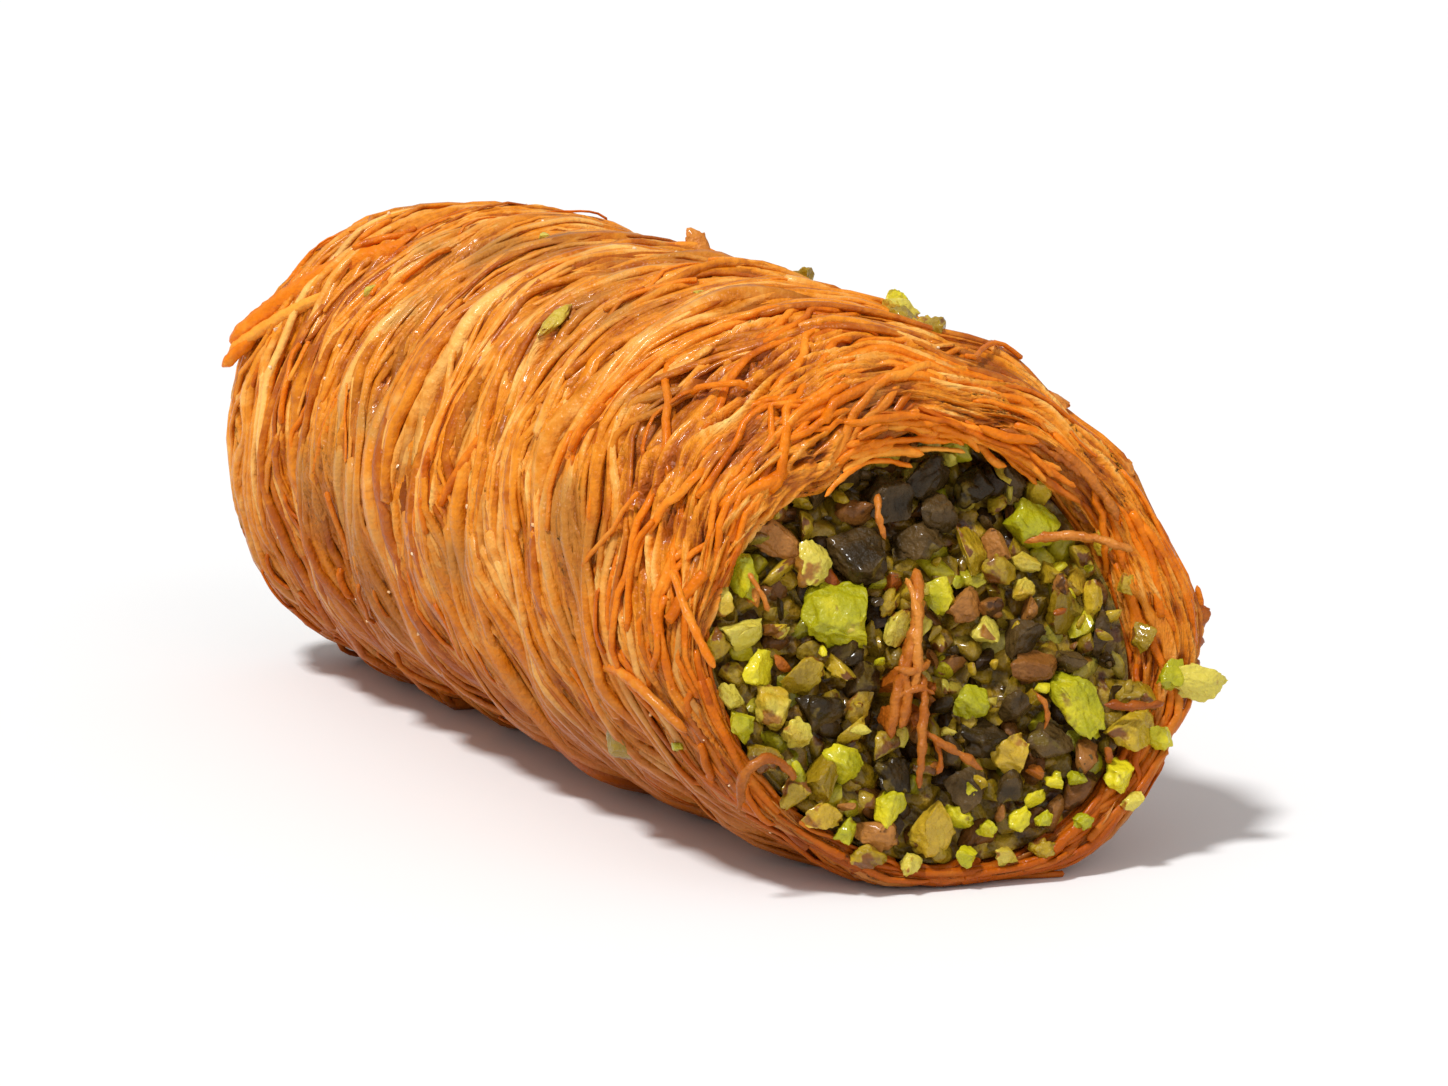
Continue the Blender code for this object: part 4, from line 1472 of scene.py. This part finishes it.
def fringe_lines():
    """Short strands of the upper inner lip, lying ragged over the top of the filling.  The
    share of each is how far it hangs down, from 0 at the lip to 1 lowest and deepest."""
    dice = Random(9)
    middle_y, middle_z = (shift / MM for shift in BORE_SHIFT_SHOWN)
    lines = []
    for _ in range(FRINGE_STRANDS):
        share = dice.random()
        middle = dice.uniform(FRINGE_FROM, FRINGE_TO)
        span = dice.uniform(0.20, 0.65)
        lip = overhang(middle, 1) / MM
        radius = FRINGE_RADIUS - (0.3 + 0.95 * share) * lip - 0.5 * share
        slope = dice.uniform(-0.9, 0.9)
        bend = dice.uniform(-0.6, 0.6)
        height = 3.3 - 1.5 * share + dice.uniform(-0.4, 0.4)
        places = []
        for step in range(FRINGE_STEPS + 1):
            along = step / FRINGE_STEPS - 0.5
            angle = middle + span * along
            reach = radius + slope * along + bend * (along * along * 4 - 0.3)
            reach += dice.uniform(-0.2, 0.2)
            y, z = middle_y + reach * cos(angle), middle_z + reach * sin(angle)
            places.append(face_spot(y, z, float(height + dice.uniform(-0.3, 0.3))))
        lines.append((dice.uniform(0.18, 0.36) * MM, places))
    return lines


def make_laid_strands():
    tree = laid_strands_tree()

    def placed(strands, spot_at):
        return [(radius * MM, [spot_at(*spot) for spot in spots]) for radius, spots in strands]

    for name, lines, unevenness, paint in (
            ("strands_on_filling", placed(FACE_STRANDS, face_spot), 0.28, singed_paint),
            ("upper_lip_fringe", fringe_lines(), 0.14, rim_paint),
            ("proud_strands", placed(PROUD_STRANDS, proud_spot), 0.14, rim_paint)):
        guide = line_curve(name + "_lines", lines)
        piece = grow(name, tree, {
            "Lines": guide, "Sides": STRAND_SIDES, "Unevenness": unevenness * MM,
            "Material": paint})
        ride_as(piece, "pastry")
        bpy.data.objects.remove(guide)


def make_syrup_beads(strands):
    """Beads of syrup dried on the strands."""
    far_away = new_object("nothing_near", bpy.data.meshes.new("nothing_near"))
    piece = grow("syrup_beads", scatter_tree(), {
        "Surface": strands, "Shapes": bit_collection("bead", range(3), detail=1, cuts=0),
        "Spacing": 1.2 * MM, "Seed": 5, "Kind from": 0.0, "Kind to": 0.40, "Clustering": 0.5,
        "Smallest": 0.05 * MM, "Largest": 0.20 * MM, "Proud": 0.03 * MM,
        "Unevenness": 0.02 * MM, "Clear of": far_away, "Clearance": -1.0,
        "Material": bead_paint})
    ride_as(piece, "pastry")
    bpy.data.objects.remove(far_away)


# ---- Stage, light and camera ----
CAMERA_AZIMUTH = radians(60.2)
CAMERA_ELEVATION = radians(12.0)
CAMERA_DISTANCE = 300 * MM
CAMERA_LENS = 104.0
AIM = Vector((0.5, 4.0, 14.8)) * MM
ROLL_MIDDLE = Vector((-2.4, 0.0, 17.3)) * MM
FLOOR_SIZE = 3.0
FLOOR_COLOUR = (0.88, 0.88, 0.88, 1.0)
FLOOR_ROUGHNESS = 0.7
# Softboxes: place, how wide it looks in degrees, and strength
LIGHTS = {
    "key": ((0.06, -0.30, 0.62), 9, 2.62),
    "fill": ((0.55, 0.10, 0.30), 60, 0.45),
}
SKY_STRENGTH = 0.43


def add_soft_light(name, position, spread, strength):
    """A large far-off softbox, so that the floor is lit evenly."""
    light = bpy.data.lights.new(name, "SUN")
    light.angle = radians(spread)
    light.energy = strength
    lamp = new_object(name, light)
    lamp.location = position
    lamp.rotation_euler = (ROLL_MIDDLE - Vector(position)).to_track_quat("-Z", "Y").to_euler()


def make_stage():
    floor = bpy.data.meshes.new("floor")
    corners = ((-1, -1), (1, -1), (1, 1), (-1, 1))
    floor.from_pydata([(x * FLOOR_SIZE, y * FLOOR_SIZE, 0) for x, y in corners], [], [range(4)])
    paint, _, shader = new_material("pale_floor")
    shader.inputs["Base Color"].default_value = FLOOR_COLOUR
    shader.inputs["Roughness"].default_value = FLOOR_ROUGHNESS
    floor.materials.append(paint)
    new_object("floor", floor)
    world = bpy.data.worlds.new("studio")
    world.use_nodes = True
    sky = world.node_tree.nodes["Background"]
    sky.inputs["Color"].default_value = (1, 1, 1, 1)
    sky.inputs["Strength"].default_value = SKY_STRENGTH
    bpy.context.scene.world = world
    bpy.context.scene.view_settings.view_transform = "Standard"
    for name, settings in LIGHTS.items():
        add_soft_light(name, *settings)


def make_camera():
    side = cos(CAMERA_ELEVATION)
    back = Vector((sin(CAMERA_AZIMUTH) * side, -cos(CAMERA_AZIMUTH) * side, sin(CAMERA_ELEVATION)))
    camera = new_object("camera", bpy.data.cameras.new("camera"))
    camera.data.lens = CAMERA_LENS
    camera.location = ROLL_MIDDLE + back * CAMERA_DISTANCE
    camera.rotation_euler = (AIM - camera.location).to_track_quat("-Z", "Y").to_euler()
    camera.data.clip_start = 0.01
    bpy.context.scene.camera = camera


make_camera()
forms = make_sleeve()
make_filling()
make_outside_bits()
make_laid_strands()
make_syrup_beads(bpy.data.objects["strands_1"])
for form in forms:
    bpy.data.objects.remove(form)
make_stage()
